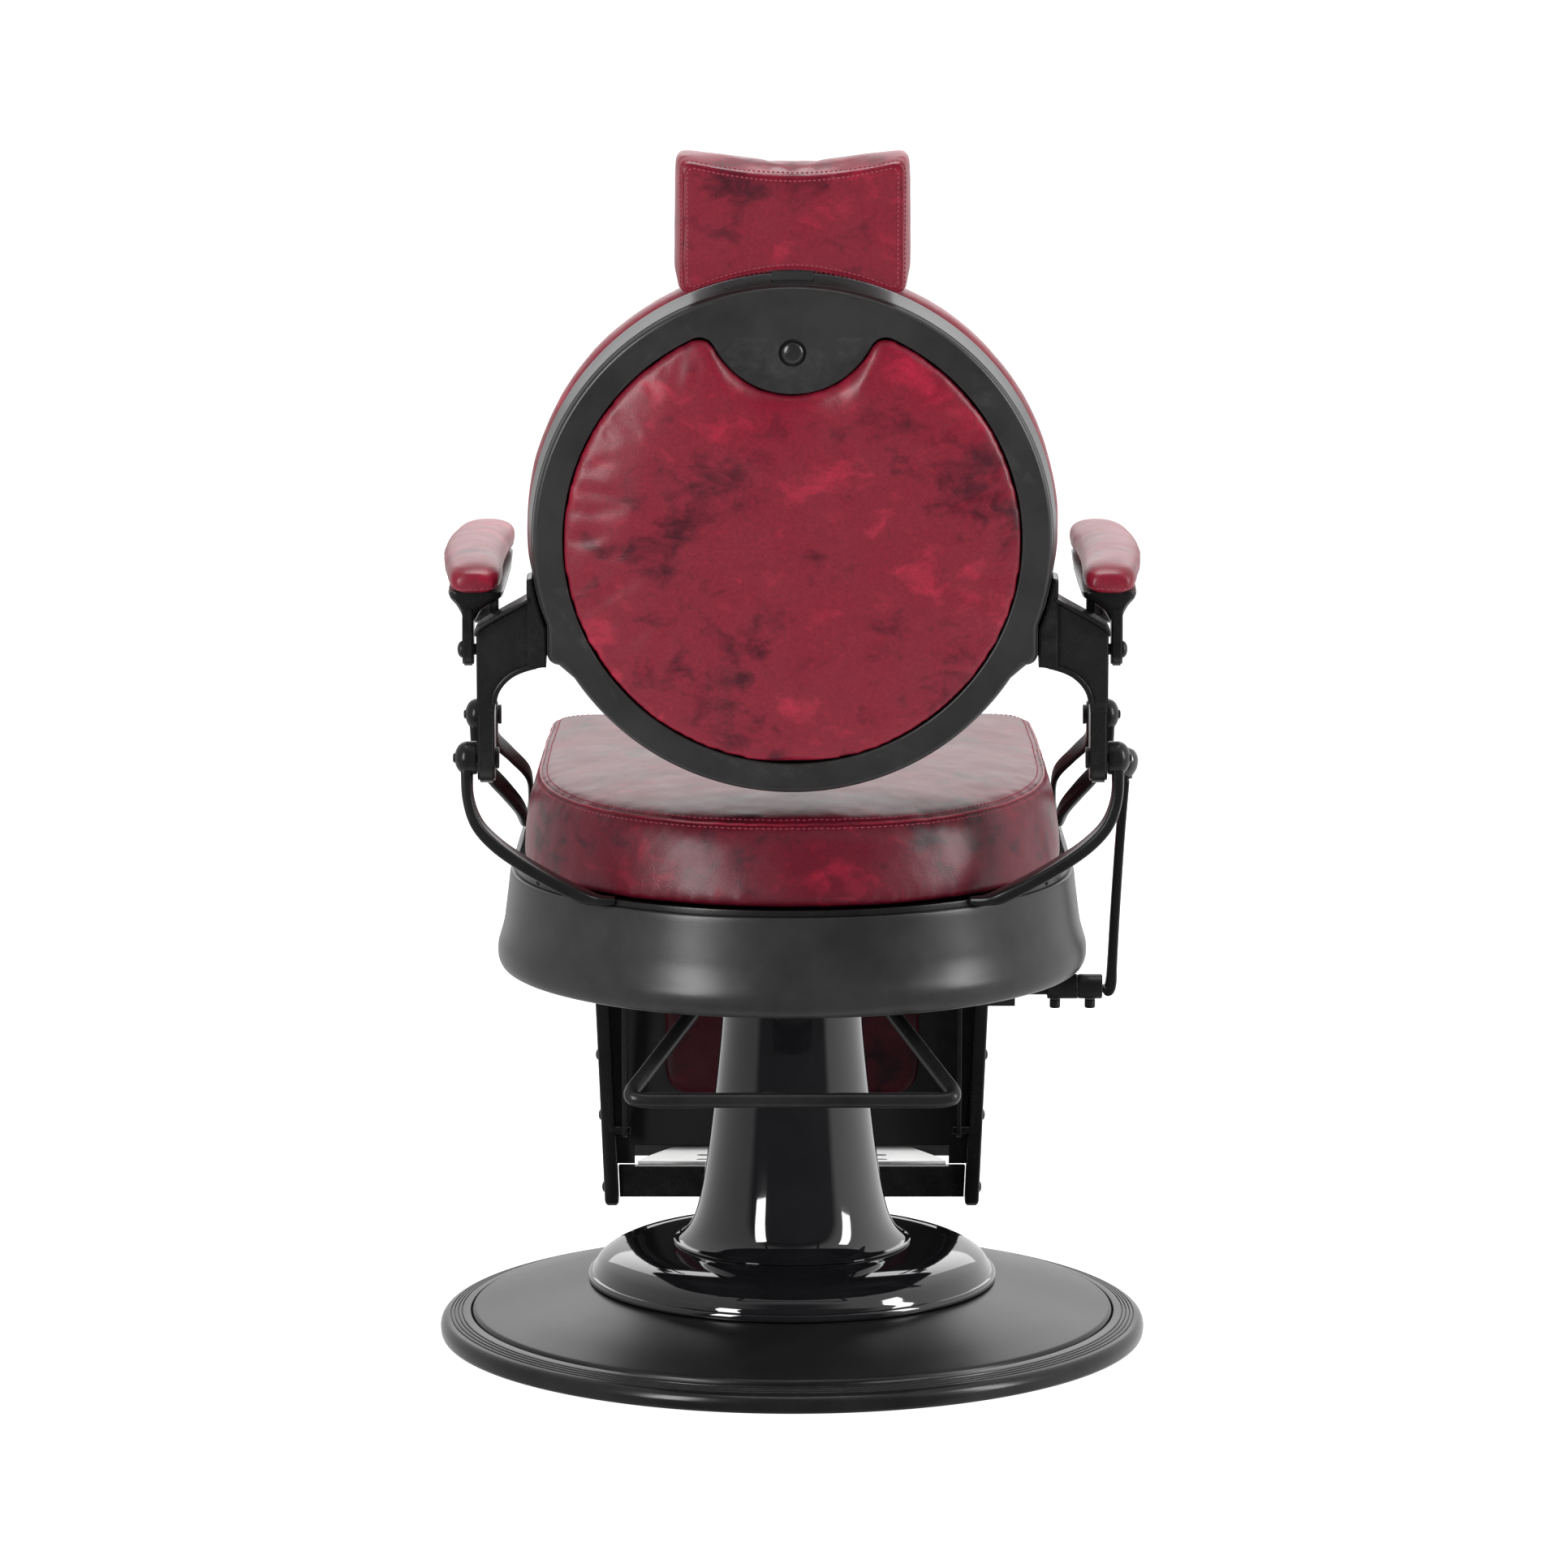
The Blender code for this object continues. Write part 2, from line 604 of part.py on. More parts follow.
def recline_lever():
    """Shaft under the skirt with its sleeve end, set screws, flat lever and knob, on the right only."""
    z = LEVER_AXIS[2]
    along_x = Matrix.Translation((0.0, 0.0, z)) @ Matrix.Rotation(math.pi / 2, 4, "Y")
    profile = [(0.0, 0.2850), (0.0105, 0.2850), (0.0115, 0.2840), (0.0115, 0.2345), (0.0078, 0.2330),
               (0.0078, 0.1600), (0.0, 0.1600)]
    finish_part(turned(profile, 20, along_x), "lever_shaft", "dark_steel", "lever")
    for place_name, x in (("inner", 0.2417), ("outer", 0.2738)):
        screw = [(0.0, 0.0), (0.0048, 0.0), (0.0050, -0.0070), (0.0040, -0.0080), (0.0, -0.0080)]
        place = Matrix.Translation((x, 0.0, z - 0.0115 - GAP))
        finish_part(turned(screw, 12, place), "lever_screw_" + place_name, "dark_steel", "lever")
    half = 0.0045
    outline = [(0.2853, z - 0.0115), (0.2900, z - 0.0105), (0.2945, z - 0.0060), (0.2958, z + 0.0080),
               (0.3046 + half, 0.5160), (0.3046 - half, 0.5165), (0.2872, z + 0.0115), (0.2853, z + 0.0100)]
    lever = prism(outline, -0.0100, 0.0100, REAR_VIEW, bevel=0.0012)
    finish_part(lever, "recline_lever", "satin_black", "lever")
    knob = [(0.0, 0.0290), (0.0062, 0.0272), (0.0105, 0.0225), (0.0118, 0.0165), (0.0105, 0.0095),
            (0.0070, 0.0040), (0.0060, 0.0), (0.0, 0.0)]
    place = Matrix.Translation((0.3050, 0.0, 0.5168 + GAP))
    finish_part(turned(knob, 16, place), "lever_knob", "knob_black", "lever")


# ---------------------------------------------------------------- back

def ring_outline(grow=0.0):
    """The ring's outer outline: a circle with a square-cornered lug low on each side."""
    lug_x = 0.2155 + grow
    lug_low = -0.112 - grow
    corner = 0.010
    radius = RING_RADIUS + grow
    rise = math.degrees(math.acos(lug_x / radius))
    fall = math.degrees(math.acos(0.192 / RING_RADIUS))
    right = arc((0.0, 0.0), radius, -90.0, -fall, 9)
    right += arc((lug_x - corner, lug_low + corner), corner, -90.0, 0.0, 4)
    right += arc((0.0, 0.0), radius, -rise, 90.0, 17)
    return mirrored(right)


def opening_outline(grow=0.0):
    """The opening in the ring's rear face, with the lobe for the release button at its top."""
    radius = OPENING_RADIUS + grow
    lobe = LOBE_RADIUS - grow
    fillet = LOBE_FILLET + grow
    reach = radius - fillet
    swing = math.acos((reach ** 2 + LOBE_CENTRE_Z ** 2 - (lobe + fillet) ** 2) / (2 * reach * LOBE_CENTRE_Z))
    centre = (reach * math.sin(swing), reach * math.cos(swing))
    top = 90.0 - math.degrees(swing)
    to_lobe = math.degrees(math.atan2(LOBE_CENTRE_Z - centre[1], -centre[0]))
    right = arc((0.0, 0.0), radius, -90.0, top, 19)
    right += arc(centre, fillet, top, to_lobe, 7)[1:]
    right += arc((0.0, LOBE_CENTRE_Z), lobe, to_lobe - 180.0, -90.0, 6)[1:]
    return mirrored(right)


def post_slot(grow):
    """Space of the headrest's post through the ring's top."""
    return block((-0.018 - grow, POST_Y[0] - grow, 0.10), (0.018 + grow, POST_Y[1] + grow, 0.30), BACK)


def back_ring():
    """Pressed ring: a flat rear face with an opening, and a flaring side wall."""
    flare = (RING_RADIUS + RING_FLARE) / RING_RADIUS
    ring = prism(ring_outline(), 0.0, RING_DEPTH, REAR_VIEW, BACK, end_scale=flare)
    pocket = prism(ring_outline(-RING_SHEET), RING_SHEET, RING_DEPTH + 0.004, REAR_VIEW, BACK, end_scale=flare)
    opening = prism(opening_outline(), -0.02, RING_SHEET + 0.01, REAR_VIEW, BACK)
    behind = BACK @ Vector((0.0, -0.02, BUTTON_Z))
    inside = BACK @ Vector((0.0, 0.02, BUTTON_Z))
    button_hole = cylinder(behind, inside, 0.012, 20)
    finish_part(cut(ring, pocket, opening, button_hole, post_slot(0.0006)), "back_ring", "satin_black", "back")


def back_panel():
    """Padded rear panel in the ring's opening."""
    edge = opening_outline(-0.0006)
    steps = ((0.0110, 1.0), (0.0015, 1.0), (-0.0020, 0.975), (-0.0050, 0.90), (-0.0075, 0.60))
    sections = [[(x * scale, depth, z * scale) for x, z in edge] for depth, scale in steps]
    finish_part(loft(sections, BACK), "back_panel", "crimson_leather", "back")


def back_board():
    """Board behind the cushion, inside the ring's wall."""
    facing = BACK @ Matrix.Rotation(-math.pi / 2, 4, "X")
    profile = [(0.0, 0.0410), (0.2285, 0.0410), (0.2275, 0.0345), (0.0, 0.0345)]
    finish_part(turned(profile, 44, facing), "back_board", "black_board", "back")


def back_cushion():
    """Round cushion that overhangs the ring's wall."""
    facing = BACK @ Matrix.Rotation(-math.pi / 2, 4, "X")
    profile = [(0.0, 0.1150), (0.110, 0.1140), (0.175, 0.1110), (0.2130, 0.1030), (0.2320, 0.0880),
               (0.2385, 0.0660), (0.2370, 0.0480), (0.2330, 0.0415), (0.0, 0.0415)]
    finish_part(turned(profile, 44, facing), "back_cushion", "crimson_leather", "back")


def post_guide():
    """Guide behind the lobe: the headrest's post slides in it and the button locks it."""
    guide = block((-0.028, RING_SHEET + GAP, 0.1400), (0.028, 0.0335, 0.2200), BACK)
    bore = cylinder(BACK @ Vector((0.0, -0.01, BUTTON_Z)), BACK @ Vector((0.0, 0.0160, BUTTON_Z)), 0.0096, 20)
    finish_part(cut(guide, post_slot(0.0006), bore), "post_guide", "cast_black", "back")


def release_button():
    """Domed button in the lobe that frees the headrest."""
    facing = BACK @ Matrix.Translation((0.0, 0.0, BUTTON_Z)) @ Matrix.Rotation(-math.pi / 2, 4, "X")
    profile = [(0.0, 0.0100), (0.0088, 0.0100), (0.0090, -0.0010), (0.0070, -0.0035), (0.0035, -0.0047),
               (0.0, -0.0050)]
    finish_part(turned(profile, 18, facing), "release_button", "bright_steel", "button")


def back_bracket(side_name, side):
    """Arm from the ring's wall out and down to the rear pivot."""
    edge = RING_RADIUS + RING_FLARE + 0.0008
    lug_edge = 0.2228
    low_v = -math.sqrt(edge ** 2 - lug_edge ** 2)
    start = math.degrees(math.atan2(low_v, lug_edge))
    inner = [(lug_edge, -0.1150)] + arc((0.0, 0.0), edge, start, -8.5, 5)
    web = inner + [(0.2372, -0.0360), (0.2376, -0.0560), (0.2526, -0.0670), (0.2683, -0.0765),
                   (BRACKET_X[1], -0.0870), (BRACKET_X[1], -0.1500), (BRACKET_X[0], -0.1500),
                   (0.2680, -0.1380), (0.2600, -0.1270), (0.2450, -0.1180)]
    web = [(side * x, z) for x, z in web]
    plate = prism(web, 0.004, 0.031, REAR_VIEW, BACK)
    half = 0.0225
    leg = arc((REAR_Y, PIVOT_Z), half, 180.0, 360.0, 13) + [(REAR_Y + half, 0.675), (REAR_Y + 0.012, 0.692),
                                                         (REAR_Y - half, 0.692)]
    low, high = span(side, *BRACKET_X)
    reach = ((side * 0.25, REAR_Y), (side * 0.30, REAR_Y))
    holes = [cylinder((*reach[0], z), (*reach[1], z), radius, 14)
             for z, radius in ((PIVOT_Z, PIN_RADIUS + 0.0005), (ARM_PIN_Z, 0.0054))]
    bracket = cut(join(prism(leg, low, high, SIDE_VIEW), plate), *holes)
    finish_part(bracket, "back_bracket_" + side_name, "satin_black", "back")
    profile = pin_profile(0.0050, 0.2665, 0.0080, BRACKET_X[0] - GAP, LUG_X[1] + GAP, 0.0075, 0.0048)
    pivot_pin(side, REAR_Y, ARM_PIN_Z, profile, "arm_rear_pin_" + side_name, "dark_steel", "back")


# ---------------------------------------------------------------- headrest

def headrest_post():
    """Flat post with the mounting plate at its top."""
    post = block((-0.018, POST_Y[0], 0.062), (0.018, POST_Y[1], 0.2410), BACK)
    plate = block((-0.030, POST_Y[0], 0.2395), (0.030, 0.056, 0.2420), BACK)
    finish_part(join(plate, post), "headrest_post", "bright_steel", "headrest")


def headrest_outline(scale, dip):
    """Front outline of the headrest: waisted, taller at its ends than in the middle."""
    half = 0.105
    corner = 0.013
    right = [(0.0, 0.0), (half * 0.3, -dip * 0.09), (half * 0.6, -dip * 0.36),
             (half - corner, -dip * 0.77)]
    right += arc((half - corner, -dip + corner), corner, -70.0, 0.0, 3)
    right += arc((half - corner, 0.1035 - corner), corner, 0.0, 70.0, 3)
    right += [(half - corner, 0.0920 + 0.0115 * 0.77), (half * 0.6, 0.0920 + 0.0115 * 0.36),
              (half * 0.3, 0.0920 + 0.0115 * 0.09), (0.0, 0.0920)]
    outline = mirrored(right)
    return [(x * scale, 0.046 + (z - 0.046) * scale) for x, z in outline]


def headrest_pad():
    """Headrest cushion on the post's plate; its rear face hangs a little lower, in front of the post."""
    base = 0.2435
    rear_drop = 0.0074
    rear_dip = 0.0205
    front_dip = 0.0145
    steps = ((0.0125, 0.93), (0.0140, 0.98), (0.0162, 0.99), (0.0176, 1.0), (0.0780, 1.0), (0.0930, 0.96),
             (0.1000, 0.86), (0.1030, 0.60))
    sections = []
    for depth, scale in steps:
        drop, dip = (rear_drop, rear_dip) if depth < 0.017 else (0.0, front_dip)
        outline = headrest_outline(scale, dip)
        sections.append([(x, depth, base + z - drop * (z < 0.046)) for x, z in outline])
    finish_part(loft(sections, BACK), "headrest_pad", "crimson_leather", "headrest")


# ---------------------------------------------------------------- arms

def arm_link(side_name, side):
    """Front link between the fork and the arm."""
    outline = arc((FRONT_Y, PIVOT_Z), 0.0125, 180.0, 360.0, 10)
    outline += arc((FRONT_Y, ARM_PIN_Z), 0.0120, 0.0, 180.0, 10)
    low, high = span(side, *LINK_X)
    holes = [cylinder((side * 0.26, FRONT_Y, z), (side * 0.30, FRONT_Y, z), radius, 14)
             for z, radius in ((PIVOT_Z, PIN_RADIUS + 0.0005), (ARM_PIN_Z, 0.0055))]
    link = cut(prism(outline, low, high, SIDE_VIEW), *holes)
    finish_part(link, "arm_link_" + side_name, "satin_black", "arm_link_" + side_name)


def arm_casting(side_name, side):
    """Tray under the pad, with a web whose lugs take the two arm pins."""
    outline = arc((REAR_Y, ARM_PIN_Z), 0.0145, 180.0, 360.0, 9) + [(REAR_Y + 0.0200, 0.6950), (0.0200, 0.6950)]
    outline += arc((FRONT_Y, ARM_PIN_Z), 0.0130, 180.0, 360.0, 9) + [(0.0600, 0.7160), (-0.2100, 0.7160)]
    low, high = span(side, *LUG_X)
    web = prism(outline, low, high, SIDE_VIEW)
    low, high = span(side, 0.2625, 0.3065)
    tray = block((low, -0.2050, 0.7125), (high, 0.0780, 0.7205))
    holes = [cylinder((side * 0.26, y, ARM_PIN_Z), (side * 0.30, y, ARM_PIN_Z), 0.0056, 14)
             for y in (REAR_Y, FRONT_Y)]
    finish_part(cut(join(web, tray), *holes), "arm_casting_" + side_name, "satin_black", "arm_" + side_name)
    profile = pin_profile(0.0050, 0.2715, 0.0078, LINK_X[0] - GAP, LUG_X[1] + GAP, 0.0075, 0.0048)
    name = "arm_front_pin_" + side_name
    pivot_pin(side, FRONT_Y, ARM_PIN_Z, profile, name, "dark_steel", "arm_link_" + side_name)


def arm_pad(side_name, side):
    """Arm pad, widest at the middle, with a rounded nose at each end."""
    stations = ((-0.2200, 0.2680, 0.2930, 0.72), (-0.2130, 0.2600, 0.3010, 0.93),
                (-0.1900, 0.2566, 0.3040, 1.0), (-0.1200, 0.2570, 0.3120, 1.0), (-0.0550, 0.2580, 0.3165, 1.0),
                (0.0200, 0.2560, 0.3130, 1.0), (0.0700, 0.2535, 0.3060, 1.0), (0.0840, 0.2570, 0.3010, 0.90),
                (0.0900, 0.2650, 0.2930, 0.65))
    floor = 0.7208
    height = 0.0285
    count = 16
    sections = []
    for y, inner, outer, scale in stations:
        ring = []
        for i in range(count):
            angle = 2 * math.pi * i / count
            across = math.copysign(abs(math.cos(angle)) ** 0.55, math.cos(angle))
            up = math.copysign(abs(math.sin(angle)) ** 0.55, math.sin(angle))
            x = (inner + outer) / 2 + across * (outer - inner) / 2
            ring.append((side * x, y, floor + height * (0.5 + 0.5 * up * scale)))
        sections.append(ring)
    finish_part(loft(sections), "arm_pad_" + side_name, "crimson_leather", "arm_" + side_name)


# ---------------------------------------------------------------- leg rest

RAIL_PATH = ((0.1835, 0.0), (0.1800, -0.082), (0.1727, -0.2640))


def rail_inner(z):
    """X of a rail's inner face at a height in the leg rest's frame."""
    for (x0, z0), (x1, z1) in zip(RAIL_PATH, RAIL_PATH[1:]):
        if z >= z1:
            return x0 + (x1 - x0) * (z - z0) / (z1 - z0) - 0.007
    return RAIL_PATH[-1][0] - 0.007


def leg_rail(side_name, side):
    """Side arm of the leg rest, with its hinge eye and the stub for its stay."""
    path = [LEG @ Vector((side * x, 0.0, z)) for x, z in RAIL_PATH]
    rail = bar(path, (1.0, 0.0, 0.0), [0.0070] * 3, [0.0130, 0.0120, 0.0110])
    low, high = span(side, 0.1765, 0.1905)
    eye = cylinder((low, *LEG_HINGE[1:]), (high, *LEG_HINGE[1:]), 0.0150, 22)
    y, z = STAY_PIN
    stub = cylinder(LEG @ Vector((side * 0.1540, y, z)), LEG @ Vector((side * 0.1740, y, z)), 0.0040, 12)
    hole = cylinder((side * 0.16, *LEG_HINGE[1:]), (side * 0.21, *LEG_HINGE[1:]), PIN_RADIUS + 0.0005, 14)
    finish_part(cut(join(rail, eye, stub), hole), "leg_rail_" + side_name, "satin_black", "leg_rest")


PAD_HALF = 0.122
PAD_TOP_Z = -0.022
PAD_LOW_Z = -0.166


def pad_outline(grow=0.0):
    """Calf pad's outline: round corners, larger below."""
    half = PAD_HALF + grow
    right = arc((half - 0.030, PAD_LOW_Z + 0.030 - grow), 0.030, -90.0, 0.0, 6)
    right += arc((half - 0.010, PAD_TOP_Z - 0.010 + grow), 0.010, 0.0, 90.0, 3)
    return right + [(-x, z) for x, z in reversed(right)]


def calf_board():
    """Board between the rails, with an opening that the calf pad fills."""
    right = [(0.1505, -0.2135), (0.1505, -0.2320)]
    right += [(rail_inner(z) - 0.0004, z) for z in (-0.2320, -0.082, -0.014)]
    outline = right + [(-x, z) for x, z in reversed(right)]
    board = prism(outline, 0.0085, 0.0145, REAR_VIEW, LEG)
    opening = prism(pad_outline(0.0006), 0.0, 0.03, REAR_VIEW, LEG)
    finish_part(cut(board, opening), "calf_board", "black_board", "leg_rest")


def calf_pad():
    """Calf pad, padded towards the leg and flat behind."""
    steps = ((0.0050, 0.97), (0.0075, 1.0), (0.0360, 1.0), (0.0430, 0.95), (0.0470, 0.82))
    middle = (PAD_TOP_Z + PAD_LOW_Z) / 2
    sections = [[(x * scale, depth, middle + (z - middle) * scale) for x, z in pad_outline()]
                for depth, scale in steps]
    finish_part(loft(sections, LEG), "calf_pad", "crimson_leather", "leg_rest")


def leg_crossbar():
    """Plate that ties the rails together at their lower ends."""
    right = [(rail_inner(z) - 0.0004, z) for z in (-0.2620, -0.2310)]
    outline = right + [(-x, z) for x, z in reversed(right)]
    finish_part(prism(outline, -0.0030, 0.0030, REAR_VIEW, LEG), "leg_crossbar", "satin_black", "leg_rest")


def foot_rod():
    """Hinge rod of the foot plate, from rail to rail."""
    y, z = FOOT_HINGE
    end = rail_inner(z) - 0.0004
    rod = cylinder(LEG @ Vector((-end, y, z)), LEG @ Vector((end, y, z)), 0.0040, 12)
    finish_part(rod, "foot_rod", "bright_steel", "leg_rest")


def foot_plate():
    """Slotted plate that folds up on its rod."""
    hinge = LEG @ Vector((0.0, *FOOT_HINGE))
    far = hinge.y + FOOT_REACH - GAP
    outline = [(-0.1485, hinge.y), (0.1485, hinge.y), (0.1460, hinge.y + 0.018), (0.1080, far), (-0.1080, far),
               (-0.1460, hinge.y + 0.018)]
    plate = prism(outline, hinge.z - 0.0020, hinge.z + 0.0025)
    knuckle = cylinder((-0.1485, hinge.y, hinge.z), (0.1485, hinge.y, hinge.z), 0.0080, 16)
    bore = cylinder((-0.16, hinge.y, hinge.z), (0.16, hinge.y, hinge.z), 0.0046, 14)
    slots = []
    for row in (0.027, 0.047, 0.067):
        for column in (-1, 1):
            reach = 0.092 if row < 0.06 else 0.078
            left, right = sorted((column * 0.020, column * reach))
            near = hinge.y + row - 0.0035
            slots.append(block((left, near, hinge.z - 0.01), (right, near + 0.0070, hinge.z + 0.01)))
    finish_part(cut(join(plate, knuckle), bore, *slots), "foot_plate", "plate_silver", "foot")


def toe_bar():
    """Rubber bar across the far edge of the foot plate."""
    hinge = LEG @ Vector((0.0, *FOOT_HINGE))
    start = hinge.y + FOOT_REACH
    low, high = hinge.z - 0.0075, hinge.z + 0.0105
    profile = [(start, low), (start + 0.0070, low), (start + 0.0100, low + 0.0030), (start + 0.0100, high - 0.0030),
               (start + 0.0070, high), (start, high)]
    finish_part(prism(profile, -0.1600, 0.1600, SIDE_VIEW), "toe_bar", "black_rubber", "foot")


def stay_link(side_name, side):
    """Thin stay between a rail's stub and the seat's underside."""
    foot = Vector(STAY_PIN)
    head = Vector((-0.0222, 0.0080))
    direction = (head - foot).normalized()
    lean = math.degrees(math.atan2(direction.y, direction.x)) - 90.0
    half = 0.0078
    outline = arc(foot, half, 180.0 + lean, 360.0 + lean, 9) + arc(head, half, lean, 180.0 + lean, 9)
    low, high = span(side, 0.1575, 0.1625)
    stay = prism(outline, low, high, SIDE_VIEW, LEG)
    hole = cylinder(LEG @ Vector((side * 0.15, *STAY_PIN)), LEG @ Vector((side * 0.17, *STAY_PIN)), 0.0046, 14)
    finish_part(cut(stay, hole), "stay_link_" + side_name, "dark_steel", "stay_" + side_name)


def build_moving_parts():
    pump_pedal()
    recline_lever()
    back_ring()
    back_panel()
    back_board()
    back_cushion()
    post_guide()
    release_button()
    headrest_post()
    headrest_pad()
    for side_name, side in SIDES:
        back_bracket(side_name, side)
        arm_link(side_name, side)
        arm_casting(side_name, side)
        arm_pad(side_name, side)
        leg_rail(side_name, side)
        stay_link(side_name, side)
    calf_board()
    calf_pad()
    leg_crossbar()
    foot_rod()
    foot_plate()
    toe_bar()


clear_scene()
PARTS = make_collection("barber_chair")
CUTTERS = make_collection("cutters")
MATERIALS = {name: make_finish(name) for name in FINISHES}
AXES = make_bodies()
build_base()
build_seat()
build_moving_parts()
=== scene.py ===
"""Hydraulic barber chair: the detailed visual model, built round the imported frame.

Metres, +Z up, the chair faces +Y. Shapes come first, then finishes, then the floor, lights and camera.
"""
import math

import bmesh
import bpy
import numpy as np
from mathutils import Matrix, Vector, noise
from mathutils.bvhtree import BVHTree


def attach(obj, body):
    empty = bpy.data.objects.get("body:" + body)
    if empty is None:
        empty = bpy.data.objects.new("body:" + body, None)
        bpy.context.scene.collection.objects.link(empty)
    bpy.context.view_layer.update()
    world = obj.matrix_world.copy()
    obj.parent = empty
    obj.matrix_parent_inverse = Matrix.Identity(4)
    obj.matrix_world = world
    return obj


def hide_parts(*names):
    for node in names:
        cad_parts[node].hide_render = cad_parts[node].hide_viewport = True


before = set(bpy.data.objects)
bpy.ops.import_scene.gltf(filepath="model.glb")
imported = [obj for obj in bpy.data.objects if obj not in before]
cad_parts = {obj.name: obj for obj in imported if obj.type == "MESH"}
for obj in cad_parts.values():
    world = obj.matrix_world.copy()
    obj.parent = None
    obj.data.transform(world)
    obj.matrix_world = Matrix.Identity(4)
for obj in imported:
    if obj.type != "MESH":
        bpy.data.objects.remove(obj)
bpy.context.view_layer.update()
SCENE = bpy.context.scene
WORLD = Matrix.Identity(4)
SIDES = (("left", -1), ("right", 1))

# The chair's main measures, as in its CAD model
SKIRT_RADIUS = 0.2583
DECK_Z = 0.4356
SEAM_Z = 0.512
SEAT_RISE = 0.042
REAR_Y = -0.2
FRONT_Y = 0.04
PIVOT_Z = 0.57
ARM_PIN_Z = 0.668
BACK = Matrix.Translation((0.0, -0.25, 0.771)) @ Matrix.Rotation(math.radians(5.5), 4, "X")
BACK_FACING = BACK @ Matrix.Rotation(-math.pi / 2, 4, "X")
RING_RADIUS = 0.229
OPENING_RADIUS = 0.2025
LOBE_CENTRE_Z = 0.21
LOBE_RADIUS = 0.077
LOBE_FILLET = 0.014
BUTTON_PLACE = BACK_FACING @ Matrix.Translation((0.0, -0.1704, 0.0))
LEVER_Z = 0.323
LEG_HINGE = (0.0, 0.285, 0.318)
LEG = Matrix.Translation(LEG_HINGE) @ Matrix.Rotation(math.radians(4.27), 4, "X")
STAY_PIN = (-0.008, -0.193)
FOOT_HINGE = (0.012, -0.237)

TOP_VIEW = (0, 1, 2)
REAR_VIEW = (0, 2, 1)
SIDE_VIEW = (1, 2, 0)


# ---------------- shape helpers

def arc(centre, radius, start, end, count):
    """Points of an arc, in degrees, both ends included."""
    angles = [math.radians(start + (end - start) * i / (count - 1)) for i in range(count)]
    return [(centre[0] + radius * math.cos(a), centre[1] + radius * math.sin(a)) for a in angles]


def mirrored(outline):
    """Close a right half, given from the bottom up, with its left half."""
    return outline + [(-x, y) for x, y in reversed(outline) if abs(x) > 1e-6]


def smooth_path(points, per):
    """A curve through points with any number of columns; per is the count of steps between two points."""
    rows = np.array(points, float)
    ends = np.vstack([2 * rows[0] - rows[1], rows, 2 * rows[-1] - rows[-2]])
    out = []
    for i in range(len(rows) - 1):
        a, b, c, d = ends[i:i + 4]
        for t in np.arange(per) / per:
            out.append(0.5 * (2 * b + (c - a) * t + (2 * a - 5 * b + 4 * c - d) * t ** 2
                              + (3 * b - a - 3 * c + d) * t ** 3))
    out.append(rows[-1])
    return [tuple(row) for row in out]


def eased(points, radius, steps=4, closed=False):
    """Round the corners of a line of points."""
    rows = [np.array(point, float) for point in points]
    out = []
    for i, here in enumerate(rows):
        if not closed and i in (0, len(rows) - 1):
            out.append(tuple(here))
            continue
        ends = []
        for other in (rows[i - 1], rows[(i + 1) % len(rows)]):
            reach = np.linalg.norm(other - here)
            ends.append(here + (other - here) * min(radius, reach * 0.48) / reach)
        for t in np.arange(steps + 1) / steps:
            out.append(tuple(ends[0] * (1 - t) ** 2 + here * 2 * t * (1 - t) + ends[1] * t ** 2))
    return out


def resampled(loop, pitch):
    """Points at even spacing round a closed line, with their directions."""
    rows = np.array([*loop, loop[0]], float)
    reach = np.concatenate([[0.0], np.cumsum(np.linalg.norm(np.diff(rows, axis=0), axis=1))])
    count = max(2, int(reach[-1] / pitch))
    at = np.arange(count) * reach[-1] / count

    def spots(where):
        return np.stack([np.interp(where, reach, column) for column in rows.T], axis=1)

    ahead = spots(np.minimum(at + pitch / 4, reach[-1]))
    behind = spots(np.maximum(at - pitch / 4, 0.0))
    return [(Vector(p), (Vector(q) - Vector(r)).normalized()) for p, q, r in zip(spots(at), ahead, behind)]


def object_from(bm):
    mesh = bpy.data.meshes.new("shape")
    bm.to_mesh(mesh)
    bm.free()
    return bpy.data.objects.new("shape", mesh)


def mesh_object(bm, place=WORLD):
    """Close a bmesh into an object, with its faces pointing out."""
    bmesh.ops.transform(bm, matrix=place, verts=bm.verts)
    bmesh.ops.recalc_face_normals(bm, faces=bm.faces)
    return object_from(bm)


def skin(bm, rings, closed=False):
    """Faces between rings of equal point counts; the ends are closed unless the rings form a loop."""
    pairs = list(zip(rings, rings[1:]))
    if closed:
        pairs.append((rings[-1], rings[0]))
    for ring, following in pairs:
        for i in range(len(ring)):
            j = (i + 1) % len(ring)
            bm.faces.new((ring[i], ring[j], following[j], following[i]))
    if not closed:
        bm.faces.new(rings[0])
        bm.faces.new(rings[-1])


def loft(sections, place=WORLD, closed=False):
    bm = bmesh.new()
    skin(bm, [[bm.verts.new(point) for point in section] for section in sections], closed)
    return mesh_object(bm, place)


def slab(outline, low, high, view=TOP_VIEW, place=WORLD, bevel=0.0008):
    """A flat outline given depth, with rounded edges."""
    bm = bmesh.new()
    rings = []
    for depth in (low, high):
        ring = []
        for a, b in outline:
            point = [0.0, 0.0, 0.0]
            point[view[0]] = a
            point[view[1]] = b
            point[view[2]] = depth
            ring.append(bm.verts.new(point))
        rings.append(ring)
    skin(bm, rings)
    if bevel:
        bmesh.ops.recalc_face_normals(bm, faces=bm.faces)
        first = set(rings[0])
        caps = [edge for edge in bm.edges if len({v in first for v in edge.verts}) == 1]
        bmesh.ops.bevel(bm, geom=caps, offset=bevel, segments=3, affect="EDGES", clamp_overlap=True)
    return mesh_object(bm, place)


